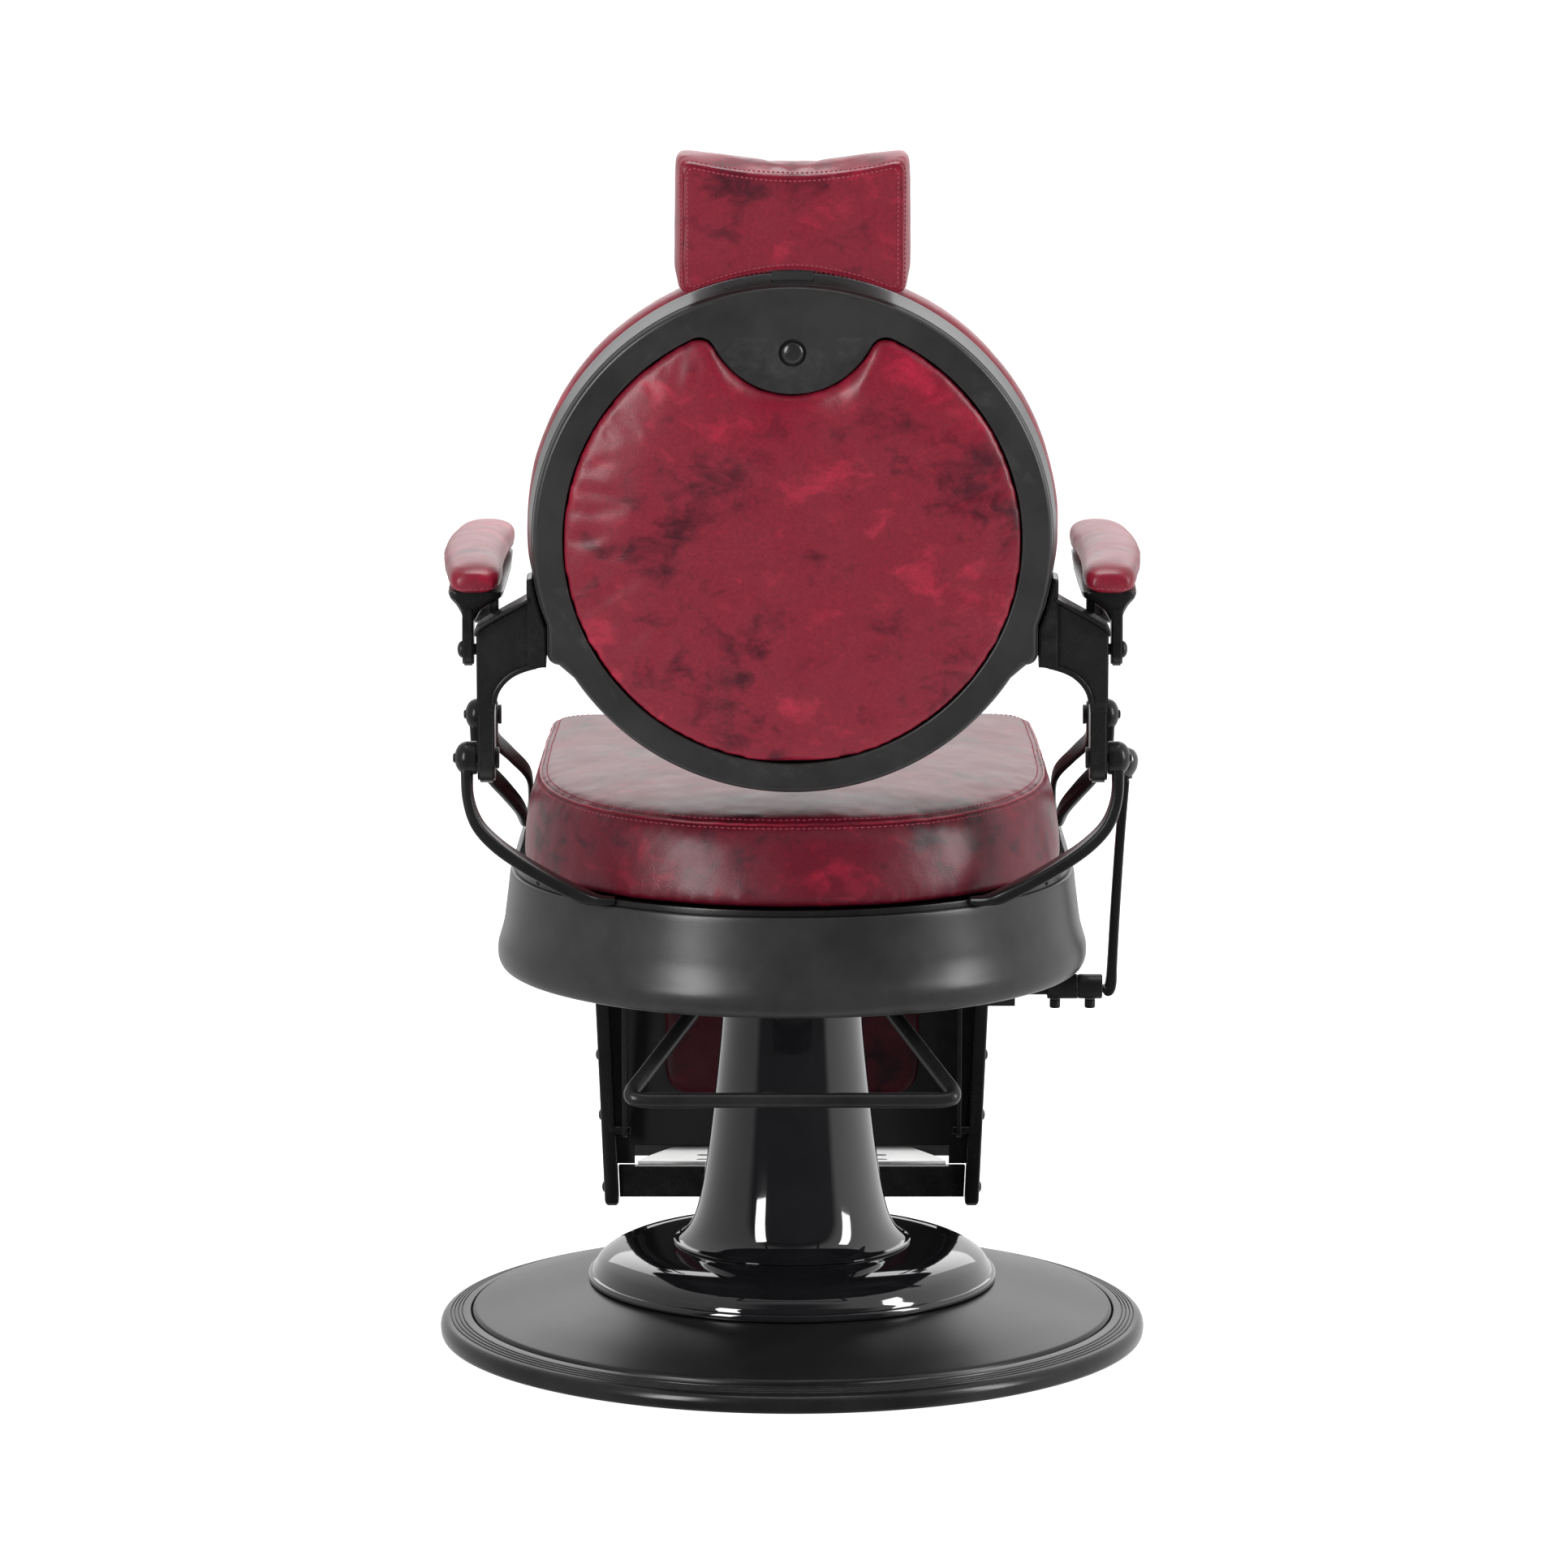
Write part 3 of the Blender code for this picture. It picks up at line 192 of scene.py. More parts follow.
def span(side, near, far):
    """Two distances from the middle, on one side, in rising order."""
    return sorted((side * near, side * far))


def dome(radius, base, height, step=9):
    """Quarter round of a cap, from its tip to its rim, as (radius, height)."""
    angles = [math.radians(a) for a in range(0, 91, step)]
    return [(radius * math.sin(a), base + height * math.cos(a)) for a in angles]


def squared(angle, power):
    """Point at an angle of a round-cornered square of half width 1."""
    return [math.copysign(abs(v) ** power, v) for v in (math.cos(angle), math.sin(angle))]


def lathe(profile, segments, place=WORLD, closed=False):
    """A profile (radius, height) turned about Z."""
    bm = bmesh.new()
    angles = [2 * math.pi * i / segments for i in range(segments)]
    rings = []
    for radius, height in profile:
        if radius < 1e-6:
            rings.append([bm.verts.new((0.0, 0.0, height))])
        else:
            rings.append([bm.verts.new((radius * math.cos(a), radius * math.sin(a), height))
                          for a in angles])
    pairs = list(zip(rings, rings[1:]))
    if closed:
        pairs.append((rings[-1], rings[0]))
    for one, two in pairs:
        for i in range(segments):
            j = (i + 1) % segments
            if len(one) == 1 and len(two) > 1:
                bm.faces.new((one[0], two[i], two[j]))
            elif len(two) == 1 and len(one) > 1:
                bm.faces.new((one[i], two[0], one[j]))
            elif len(one) > 1:
                bm.faces.new((one[i], one[j], two[j], two[i]))
    return mesh_object(bm, place)


def rod(start, end, radius, segments=32, ease=0.0006):
    """A round bar between two points, with eased ends."""
    start = Vector(start)
    end = Vector(end)
    half = (end - start).length / 2
    profile = eased([(0.0, -half), (radius, -half), (radius, half), (0.0, half)], ease, 3)
    turn = Vector((0.0, 0.0, 1.0)).rotation_difference(end - start).to_matrix().to_4x4()
    return lathe(profile, segments, Matrix.Translation((start + end) / 2) @ turn)


def along_x(side, y, z):
    """Place of a turned shape whose axis points out to one side."""
    return Matrix.Translation((0.0, y, z)) @ Matrix.Rotation(side * math.pi / 2, 4, "Y")


def bar(path, side_axis, side_halves, normal_halves, square=0.5, per=6, count=20, place=WORLD):
    """A bar with a rounded section along a smooth path, closed with rounded ends."""
    axis = Vector(side_axis)
    rows = smooth_path([(*point, s, n) for point, s, n in zip(path, side_halves, normal_halves)], per)
    spots = [Vector(row[:3]) for row in rows]
    sections = []
    last = len(rows) - 1
    for i, row in enumerate(rows):
        ahead = (spots[min(i + 1, last)] - spots[max(i - 1, 0)]).normalized()
        normal = axis.cross(ahead).normalized()
        steps = [(0.0, 1.0)]
        if i in (0, last):
            ends = [(math.sin(a), math.cos(a)) for a in map(math.radians, (75, 50, 25))]
            steps = ends + steps if i == 0 else steps + ends[::-1]
        for reach, scale in steps:
            out = ahead * (reach * row[4] * 0.6 * (-1 if i == 0 else 1))
            ring = []
            for k in range(count):
                across, up = squared(2 * math.pi * k / count, square)
                shrink = 1 - (1 - scale) * row[4] * 0.6 / row[3]
                ring.append(spots[i] + out + axis * across * row[3] * shrink + normal * up * row[4] * scale)
            sections.append(ring)
    return loft(sections, place)


def tube(path, radius, count, closed=False):
    """A round cord along a path."""
    rows = [Vector(point) for point in path]
    total = len(rows)
    previous = None
    sections = []
    for i, point in enumerate(rows):
        ahead = rows[(i + 1) % total] if closed or i < total - 1 else point
        behind = rows[i - 1] if closed or i else point
        direction = (ahead - behind).normalized()
        if previous is None:
            previous = direction.orthogonal()
        previous = (previous - direction * previous.dot(direction)).normalized()
        other = direction.cross(previous)
        sections.append([point + (previous * math.cos(a) + other * math.sin(a)) * radius
                         for a in (2 * math.pi * k / count for k in range(count))])
    return loft(sections, closed=closed)


def baked(obj):
    """Turn an object's modifiers into its mesh."""
    if obj.name not in SCENE.collection.objects:
        SCENE.collection.objects.link(obj)
    bpy.context.view_layer.update()
    graph = bpy.context.evaluated_depsgraph_get()
    mesh = bpy.data.meshes.new_from_object(obj.evaluated_get(graph), depsgraph=graph)
    obj.modifiers.clear()
    obj.data = mesh
    return obj


def boolean(target, tools, operation):
    for tool in tools:
        SCENE.collection.objects.link(tool)
        modifier = target.modifiers.new("Boolean", "BOOLEAN")
        modifier.operation = operation
        modifier.object = tool
        modifier.solver = "EXACT"
    baked(target)
    for tool in tools:
        bpy.data.objects.remove(tool, do_unlink=True)
    return target


def carve(target, *tools):
    return boolean(target, tools, "DIFFERENCE")


def unite(target, *tools):
    return boolean(target, tools, "UNION")


def joined(objs):
    """Several loose shapes as one mesh."""
    bm = bmesh.new()
    for obj in objs:
        bm.from_mesh(obj.data)
        bpy.data.objects.remove(obj, do_unlink=True)
    return object_from(bm)


def vertices_of(obj, what="co"):
    data = np.empty(len(obj.data.vertices) * 3)
    obj.data.vertices.foreach_get(what, data)
    return data.reshape(-1, 3)


def move_vertices(obj, points):
    obj.data.vertices.foreach_set("co", points.reshape(-1))
    obj.data.update()


def surface_of(obj):
    mesh = obj.data
    return BVHTree.FromPolygons([v.co for v in mesh.vertices], [p.vertices for p in mesh.polygons])


# ---------------- finishes

class Finish:
    """Builds the nodes of a material, or of the world, step by step."""

    def __init__(self, data, shader="Principled BSDF", coordinates="Object"):
        data.use_nodes = True
        self.data = data
        self.tree = data.node_tree
        self.shader = self.tree.nodes[shader]
        self.at = self.node("ShaderNodeTexCoord").outputs[coordinates]

    def feed(self, slot, value):
        """Link a node's output to an input, or set the input to a number, vector or colour."""
        if isinstance(value, bpy.types.NodeSocket):
            self.tree.links.new(value, slot)
        elif isinstance(value, tuple) and slot.type == "RGBA":
            slot.default_value = (*value, 1.0)
        else:
            slot.default_value = value

    def node(self, kind, **values):
        """A new node, with its attributes and inputs given by name."""
        node = self.tree.nodes.new(kind)
        for key, value in values.items():
            if hasattr(node, key):
                setattr(node, key, value)
            else:
                self.feed(node.inputs[key.replace("_", " ")], value)
        return node

    def set(self, **values):
        """Give the shader's inputs by name."""
        for key, value in values.items():
            self.feed(self.shader.inputs[key.replace("_", " ")], value)
        return self

    def mapped(self, scale):
        return self.node("ShaderNodeMapping", Scale=scale, Vector=self.at).outputs["Vector"]

    def noise(self, scale, detail=4.0, rough=0.55, distort=0.0, at=None):
        node = self.node("ShaderNodeTexNoise", Scale=scale, Detail=detail, Roughness=rough,
                         Distortion=distort, Vector=at or self.at)
        return node.outputs["Fac"]

    def cells(self, scale, feature="DISTANCE_TO_EDGE", at=None):
        node = self.node("ShaderNodeTexVoronoi", feature=feature, Scale=scale, Vector=at or self.at)
        return node.outputs["Distance"]

    def ramp(self, source, stops):
        """Grey or coloured stops, given as (place, colour)."""
        node = self.node("ShaderNodeValToRGB", Fac=source)
        elements = node.color_ramp.elements
        while len(elements) < len(stops):
            elements.new(0.5)
        for element, (place, colour) in zip(elements, stops):
            element.position = place
            element.color = (*colour, 1.0) if isinstance(colour, tuple) else (colour, colour, colour, 1.0)
        return node.outputs["Color"]

    def math(self, operation, one, two):
        node = self.node("ShaderNodeMath", operation=operation)
        self.feed(node.inputs[0], one)
        self.feed(node.inputs[1], two)
        return node.outputs[0]

    def mix(self, blend, amount, one, two):
        node = self.node("ShaderNodeMix", data_type="RGBA", blend_type=blend)
        for index, value in ((0, amount), (6, one), (7, two)):
            self.feed(node.inputs[index], value)
        return node.outputs[2]

    def range(self, source, low, high, start=0.0):
        node = self.node("ShaderNodeMapRange", From_Min=start, To_Min=low, To_Max=high, Value=source)
        return node.outputs["Result"]

    def bump(self, height, strength, distance, normal=None):
        node = self.node("ShaderNodeBump", Strength=strength, Distance=distance, Height=height)
        if normal is not None:
            self.feed(node.inputs["Normal"], normal)
        return node.outputs["Normal"]


def surface(name):
    return Finish(bpy.data.materials.new(name))


def tinted(tone, scale, lift=0.0):
    """A colour made darker or lighter."""
    return tuple(min(1.0, c * scale + lift) for c in tone)


def leather(name, dark, middle, light, scale=1.0):
    """Waxed leather: cloudy two-tone dye, pebbled grain and fine creases."""
    f = surface(name)
    flowing = f.mapped((1.0, 1.0, 1.35))
    clouds = f.noise(9.0 * scale, 5.0, 0.55, 0.3, flowing)
    patches = f.noise(31.0 * scale, 5.0, 0.6, 0.5, flowing)
    blend = f.math("ADD", f.math("MULTIPLY", clouds, 0.52), f.math("MULTIPLY", patches, 0.48))
    colour = f.ramp(blend, ((0.36, dark), (0.475, middle), (0.54, middle), (0.66, light)))
    specks = f.ramp(f.noise(330.0, 3.0, 0.7), ((0.35, 0.8), (0.62, 1.0)))
    colour = f.mix("MULTIPLY", 1.0, colour, specks)
    creases = f.cells(46.0 * scale, at=f.mapped((1.0, 1.0, 1.6)))
    thin = f.ramp(creases, ((0.0, 0.0), (0.035, 1.0)))
    worn = f.ramp(f.noise(9.0 * scale, 2.0), ((0.5, 0.0), (0.66, 1.0)))
    lines = f.mix("MIX", worn, (1.0, 1.0, 1.0), thin)
    grain = f.cells(620.0, "F1")
    pebble = f.math("ADD", f.math("MULTIPLY", grain, 0.7), f.noise(1400.0, 2.0))
    normal = f.bump(pebble, 0.16, 0.0004)
    normal = f.bump(lines, 0.22, 0.0005, normal)
    normal = f.bump(f.noise(38.0, 5.0, 0.6), 0.18, 0.0016, normal)
    return f.set(Base_Color=colour, Roughness=f.range(f.noise(24.0), 0.29, 0.45), Normal=normal,
                 Specular_IOR_Level=0.42, Coat_Weight=0.06, Coat_Roughness=0.24, Coat_IOR=1.45)


def satin(name, tone, rough, metallic=0.35, brush=None, grain=0.05):
    """Coated or brushed black metal with faint wear on its edges."""
    f = surface(name)
    cloud = f.noise(14.0, 4.0, 0.6)
    colour = f.ramp(cloud, ((0.35, tinted(tone, 0.82)), (0.65, tinted(tone, 1.22))))
    geometry = f.node("ShaderNodeNewGeometry")
    wear = f.ramp(geometry.outputs["Pointiness"], ((0.53, 0.0), (0.6, 1.0)))
    patchy = f.ramp(f.noise(70.0, 5.0, 0.7), ((0.45, 0.0), (0.65, 1.0)))
    amount = f.math("MULTIPLY", f.math("MULTIPLY", wear, patchy), 0.14)
    colour = f.mix("MIX", amount, colour, tinted(tone, 3.2, 0.03))
    fine = f.noise(60.0 if brush else 900.0, 5.0, 0.7, at=f.mapped(brush) if brush else f.at)
    mottle = f.math("ADD", f.math("MULTIPLY", cloud, 0.5), f.math("MULTIPLY", fine, 0.5))
    return f.set(Base_Color=colour, Roughness=f.range(mottle, rough - 0.1, rough + 0.1),
                 Normal=f.bump(fine, grain, 0.0004), Metallic=metallic, Specular_IOR_Level=0.5)


def gloss(name, tone, rough):
    """Deep glossy enamel with a trace of dust."""
    f = surface(name)
    colour = f.ramp(f.noise(30.0), ((0.3, tone), (0.75, tinted(tone, 1.5))))
    return f.set(Base_Color=colour, Roughness=f.range(f.noise(55.0, 6.0, 0.7), rough, rough + 0.05),
                 Normal=f.bump(f.noise(9.0, 1.0), 0.05, 0.0012), Specular_IOR_Level=0.6, Coat_Weight=0.6,
                 Coat_Roughness=0.02, Coat_IOR=1.6)


def steel(name, tone, rough, brush):
    """Bare or plated metal with fine turning lines."""
    f = surface(name)
    colour = f.ramp(f.noise(25.0, 5.0), ((0.3, tinted(tone, 0.86)), (0.7, tone)))
    lines = f.noise(80.0, 4.0, 0.7, at=f.mapped(brush))
    return f.set(Base_Color=colour, Roughness=f.range(lines, rough - 0.06, rough + 0.08),
                 Normal=f.bump(lines, 0.05, 0.0003), Metallic=1.0)


def fibre(name, tone):
    """Spun thread."""
    f = surface(name)
    strands = f.node("ShaderNodeTexWave", Scale=900.0, Distortion=2.0, Vector=f.at).outputs["Fac"]
    return f.set(Base_Color=f.ramp(strands, ((0.0, tinted(tone, 0.7)), (1.0, tone))),
                 Roughness=f.range(strands, 0.5, 0.7), Normal=f.bump(strands, 0.3, 0.0002))


SLOTS = {}


def slotted(slot, finish):
    """Note the CAD slot that a finish is for, and hand on its material."""
    SLOTS[finish.data.name] = slot
    return finish.data


CRIMSON = slotted("crimson_leather", leather("crimson_leather", (0.066, 0.0034, 0.011), (0.192, 0.006, 0.021),
                                             (0.345, 0.0095, 0.036)))
CRIMSON_DEEP = slotted("crimson_leather", leather("crimson_band", (0.03, 0.0026, 0.008),
                                                  (0.108, 0.0042, 0.014), (0.225, 0.0068, 0.024), 1.25))
# Painted shade: a darker copy of the same crimson leather, for the calf pad that sits in shadow
CRIMSON_PAINTED_SHADE = slotted("crimson_leather", leather("crimson_painted_shade", (0.01, 0.0015, 0.004),
                                                   (0.036, 0.002, 0.006), (0.085, 0.0035, 0.011), 1.25))
SATIN = slotted("satin_black", satin("satin_black", (0.017, 0.0167, 0.0167), 0.27, 0.45))
RING = slotted("satin_black", satin("ring_black", (0.034, 0.033, 0.033), 0.3, 0.35, (1.0, 9.0, 1.0), 0.04))
RIM = slotted("satin_black", satin("rim_black", (0.028, 0.027, 0.027), 0.22, 0.6, grain=0.02))
RUBBER = slotted("black_rubber", satin("black_rubber", (0.008, 0.008, 0.008), 0.7, 0.0, grain=0.3))
SKIRT = slotted("satin_black", satin("skirt_black", (0.037, 0.036, 0.036), 0.31, 0.45, (0.6, 0.6, 14.0),
                                     0.1))
DISC = slotted("base_metal", satin("disc_black", (0.017, 0.017, 0.0175), 0.3, 0.4, grain=0.02))
CAST = satin("cast_black", (0.017, 0.017, 0.018), 0.48, 0.2, grain=0.14).data
GLOSS = slotted("gloss_black", gloss("gloss_black", (0.006, 0.006, 0.007), 0.035))
DARK_STEEL = slotted("dark_steel", satin("dark_steel", (0.028, 0.028, 0.029), 0.3, 0.6))
CHROME = slotted("chromed_rod", steel("chromed_rod", (0.62, 0.62, 0.63), 0.16, (1.0, 1.0, 26.0)))
SILVER = slotted("plate_silver", steel("plate_silver", (0.66, 0.66, 0.655), 0.34, (0.7, 16.0, 1.0)))
BOARD = slotted("black_board", satin("black_board", (0.004, 0.004, 0.004), 0.62, 0.0, grain=0.25))
BUTTON = slotted("chromed_rod", satin("button_black", (0.05, 0.049, 0.049), 0.24, 0.75))
KNOB = slotted("knob_black", gloss("knob_black", (0.01, 0.01, 0.01), 0.16))
THREAD = slotted("crimson_leather", fibre("crimson_thread", (0.33, 0.04, 0.065)))


def piece(obj, name, body, material, *nodes, smooth=38.0, fill=None):
    """Name, shade and hang one visible piece, in place of the CAD nodes it stands for."""
    slot = SLOTS[material.name]
    obj.name = name
    obj.data.name = name
    if obj.name not in SCENE.collection.objects:
        SCENE.collection.objects.link(obj)
    obj.data.materials.clear()
    obj.data.materials.append(material)
    obj.data.shade_smooth()
    obj.data.set_sharp_from_angle(angle=math.pi if slot == "crimson_leather" else math.radians(smooth))
    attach(obj, body)
    if nodes:
        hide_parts(*nodes)
    if fill is not None:
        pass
    else:
        obj.modifiers.new("Shading", "WEIGHTED_NORMAL").keep_sharp = True


# ---------------- padding

CLOTH_STEPS = 20
CLOTH = {"quality": 5, "mass": 0.3, "vertex_group_mass": "hold", "use_pressure": True,
         "tension_stiffness": 18, "compression_stiffness": 12, "shear_stiffness": 8,
         "bending_stiffness": 0.5}


def settle(obj, cap, pinned, pressure, place):
    """Swell a form as cloth under pressure.

    pinned gives each point's hold, from 0, free, to 1, fixed; no point moves further than cap.
    """
    rest = vertices_of(obj)
    hold = obj.vertex_groups.new(name="hold")
    back = place.inverted()
    for index, co in enumerate(rest):
        weight = pinned(back @ Vector(co))
        if weight > 0.0:
            hold.add([index], weight, "REPLACE")
    cloth = obj.modifiers.new("Cloth", "CLOTH")
    for key, value in CLOTH.items():
        setattr(cloth.settings, key, value)
    cloth.settings.uniform_pressure_force = pressure
    cloth.settings.effector_weights.gravity = 0
    cloth.collision_settings.use_collision = False
    cloth.collision_settings.use_self_collision = False
    cloth.point_cache.frame_start = 1
    cloth.point_cache.frame_end = CLOTH_STEPS
    for step in range(1, CLOTH_STEPS + 1):
        SCENE.frame_set(step)
    baked(obj)
    SCENE.frame_set(1)
    obj.vertex_groups.clear()
    move = vertices_of(obj) - rest
    length = np.linalg.norm(move, axis=1, keepdims=True)
    move *= np.minimum(1.0, cap / np.maximum(length, 1e-9))
    move_vertices(obj, rest + move)


def inflate(obj, voxel, cap, pinned, pressure, ripple=0.0006, place=WORLD):
    """Remesh a closed form evenly, settle it as cloth, smooth it once and ripple it a little."""
    SCENE.collection.objects.link(obj)
    remesh = obj.modifiers.new("Remesh", "REMESH")
    remesh.mode = "VOXEL"
    remesh.voxel_size = voxel
    obj.modifiers.new("Relax", "SMOOTH").iterations = 3
    baked(obj)
    settle(obj, cap, pinned, pressure, place)
    finer = obj.modifiers.new("Finer", "SUBSURF")
    finer.levels = 1
    finer.render_levels = 1
    baked(obj)
    points = vertices_of(obj)
    lift = np.array([noise.noise(Vector(p) * 22.0) + 0.5 * noise.noise(Vector(p) * 55.0) for p in points])
    move_vertices(obj, points + vertices_of(obj, "normal") * lift[:, None] * ripple)


def pucker(obj, path, reach, depth, pitch, zone=None):
    """Pull small gathers into a cushion beside a seam."""
    points = vertices_of(obj)
    normals = vertices_of(obj, "normal")
    spacing = 0.002
    line = np.array([spot for spot, _ in resampled(path, spacing)])
    along = np.arange(len(line)) * spacing
    shift = np.zeros(len(points))
    batch = 4000
    for start in range(0, len(points), batch):
        part = points[start:start + batch]
        gaps = np.linalg.norm(part[:, None, :] - line[None, :, :], axis=2)
        nearest = gaps.argmin(axis=1)
        gap = gaps[np.arange(len(part)), nearest]
        for i in np.nonzero(gap < reach * 2.5)[0]:
            wave = noise.noise(Vector((along[nearest[i]] / pitch, 3.7, 1.3)))
            ease = math.exp(-(gap[i] / reach) ** 2)
            keep = zone(part[i]) if zone else 1.0
            shift[start + i] = (wave * depth - depth * 0.8) * ease * keep
    move_vertices(obj, points + normals * shift[:, None])


def on_surface(tree, path, lift):
    """Drop a path onto a surface; returns points, directions and normals."""
    out = []
    for spot, direction in path:
        place, normal, _, _ = tree.find_nearest(spot)
        out.append((place + normal * lift, direction, normal))
    return out


def stitching(tree, path, pitch=0.0052, length=0.0036, radius=0.00055):
    """A row of short thread stitches round a closed path on a surface."""
    bm = bmesh.new()
    for place, direction, normal in on_surface(tree, resampled(path, pitch), radius * 0.3):
        side = normal.cross(direction).normalized()
        ahead = side.cross(normal).normalized()
        rings = []
        for t in (-1.0, -0.6, 0.6, 1.0):
            wide = radius * (0.45 if abs(t) == 1.0 else 1.0)
            spot = place + ahead * (t * length / 2) - normal * (radius * 0.5 if abs(t) == 1.0 else 0.0)
            rings.append([bm.verts.new(spot + (side * math.cos(a) + normal * math.sin(a)) * wide)
                          for a in (math.pi * k / 3 for k in range(6))])
        skin(bm, rings)
    return mesh_object(bm)


def welt(tree, path, radius=0.0013, lift=0.0003):
    """A thin cord of folded leather along a closed seam."""
    spots = [place for place, _, _ in on_surface(tree, resampled(path, 0.004), lift)]
    return tube(spots, radius, 10, True)


# ---------------- base and column

def build_base_disc():
    low = 0.047
    slope = [(0.187, 0.05), (0.215, 0.044), (0.25, 0.0356), (0.28, 0.0274)]
    top = [(0.0, low), (0.185, low), (0.1864, low + 0.0006), (0.187, 0.0496)] + smooth_path(slope, 6)[1:]
    edge = eased([(0.28, 0.0274), (0.2955, 0.0232), (0.2958, 0.015), (0.2958, 0.0)], 0.0045, 7)[1:-1]
    under = [(0.2955, 0.0), (0.281, 0.0), (0.281, 0.0184), (0.187, 0.039), (0.08, 0.039), (0.08, 0.0),
             (0.0, 0.0)]
    piece(lathe(top + edge + under, 192), "base_disc", "base", DISC, "base_plate")


def build_trim_ring():
    ring = [(0.2966, 0.0), (0.2966, 0.0196), (0.2972, 0.021), (0.2984, 0.0214), (0.304, 0.0203)]
    radius = 0.3046
    height = 0.0199
    for _ in range(4):
        ring += [(radius, height), (radius + 0.0005, height - 0.0014), (radius + 0.001, height - 0.0015),
                 (radius + 0.0014, height - 0.0003), (radius + 0.0022, height - 0.0004)]
        radius += 0.0034
        height -= 0.00085
    ring += smooth_path([(0.319, 0.0162), (0.3222, 0.0142), (0.3243, 0.0108), (0.325, 0.007),
                         (0.3246, 0.0022)], 4)
    ring += [(0.3238, 0.0004), (0.3226, 0.0)]
    piece(lathe(ring, 192, closed=True), "base_trim_ring", "base", RIM, "base_rim", smooth=50)


def build_column_shell():
    cone = [(0.0625, 0.3395), (0.0636, 0.315), (0.0652, 0.285), (0.0686, 0.248), (0.0725, 0.212),
            (0.0765, 0.178), (0.0806, 0.15), (0.0842, 0.13), (0.0888, 0.112), (0.095, 0.0985),
            (0.103, 0.0898), (0.1085, 0.0868)]
    outer = [(0.06, 0.34), (0.0615, 0.3404)] + smooth_path(cone, 6)
    outer += [(0.1093, 0.086), (0.1092, 0.0852), (0.108, 0.0848)]
    crown = [(0.1105, 0.0845), (0.125, 0.084), (0.145, 0.0822), (0.163, 0.078), (0.176, 0.0706),
             (0.1825, 0.062), (0.1845, 0.058)]
    outer += smooth_path(crown, 6)
    outer += eased([(0.1848, 0.0574), (0.1872, 0.057), (0.1884, 0.0545), (0.1884, 0.0512), (0.1875, 0.0504)],
                   0.001, 3)
    inner = [(0.1835, 0.0504), (0.1735, 0.07), (0.15, 0.0775), (0.104, 0.0815), (0.084, 0.115),
             (0.062, 0.287), (0.0597, 0.339)]
    piece(lathe(outer + inner, 160, closed=True), "column_shell", "base", GLOSS, "column_cover", smooth=50)


def build_lift():
    collar = eased([(0.0456, 0.336), (0.059, 0.336), (0.059, 0.3), (0.0456, 0.3)], 0.0012, 3, True)
    piece(lathe(collar, 96, closed=True), "bearing_collar", "base", DARK_STEEL, "guide_collar")
    tube_profile = [(0.0, 0.352), (0.044, 0.352), (0.045, 0.3508), (0.045, 0.0906), (0.0444, 0.09),
                    (0.0212, 0.09), (0.0212, 0.335), (0.0, 0.335)]
    piece(lathe(tube_profile, 96), "lift_cylinder", "lift", CHROME, "lift_tube")
    race = eased([(0.02, 0.3583), (0.04, 0.3583), (0.04, 0.3523), (0.02, 0.3523)], 0.0008, 3, True)
    piece(lathe(race, 96, closed=True), "turntable_race", "lift", CHROME, "swivel_race")


# ---------------- seat metalwork

def seat_shape(rear_centre, rear_radius, rear_end, side, front_x, front_y, corner, grow=0.0, fine=4):
    """Seat outline from above: round behind, straight sides, and a front with round corners."""
    right = arc((0.0, rear_centre), rear_radius + grow, -90.0, rear_end, 11 * fine)
    right.append((side[0] + grow, side[1]))
    right += arc((front_x - corner, front_y - corner), corner + grow, 0.0, 90.0, 4 * fine)
    for k in range(1, 8):
        right.append(((front_x - corner) * (1 - k / 8), front_y + grow))
    right.append((0.0, front_y + grow))
    return mirrored(right)


def skirt_shape(grow):
    return seat_shape(0.0, SKIRT_RADIUS, 0.0, (0.2557, 0.13), 0.2537, 0.26, 0.04, grow)


def level(outline, z):
    return [(x, y, z) for x, y in outline]


def domed(radius, start, rim, end):
    """Profile of a boss with a rounded outer face."""
    return dome(radius, rim, end - rim) + [(radius, start + 0.001), (radius - 0.001, start), (0.0, start)]


def hexagon(side, start, end, radius, y, z):
    """A chamfered hexagon bolt head whose axis points out to one side."""
    outline = [(radius * math.cos(math.radians(a)), radius * math.sin(math.radians(a)))
               for a in range(30, 390, 60)]
    return slab(outline, start, end, TOP_VIEW, along_x(side, y, z), 0.0007)


def build_apron():
    wall = [(0.0002, 0.4325), (0.0018, 0.418), (0.004, 0.4), (0.0056, 0.388), (0.008, 0.3775),
            (0.0108, 0.369), (0.0117, 0.362), (0.0112, 0.3545), (0.0085, 0.3485), (0.005, 0.346)]
    lip = eased([(-0.015, DECK_Z), (-0.0006, DECK_Z), (0.0002, 0.4325)], 0.002, 5)[:-1]
    inner = [(0.003, 0.3458), (0.0002, 0.348), (0.003, 0.36), (0.0006, 0.4), (-0.0035, 0.4321)]
    sections = [level(skirt_shape(grow), z) for grow, z in [(-0.06, DECK_Z)] + lip + smooth_path(wall,
                                                                                                 4) + inner]
    piece(loft(sections), "seat_apron", "seat", SKIRT, "seat_skirt", smooth=40)


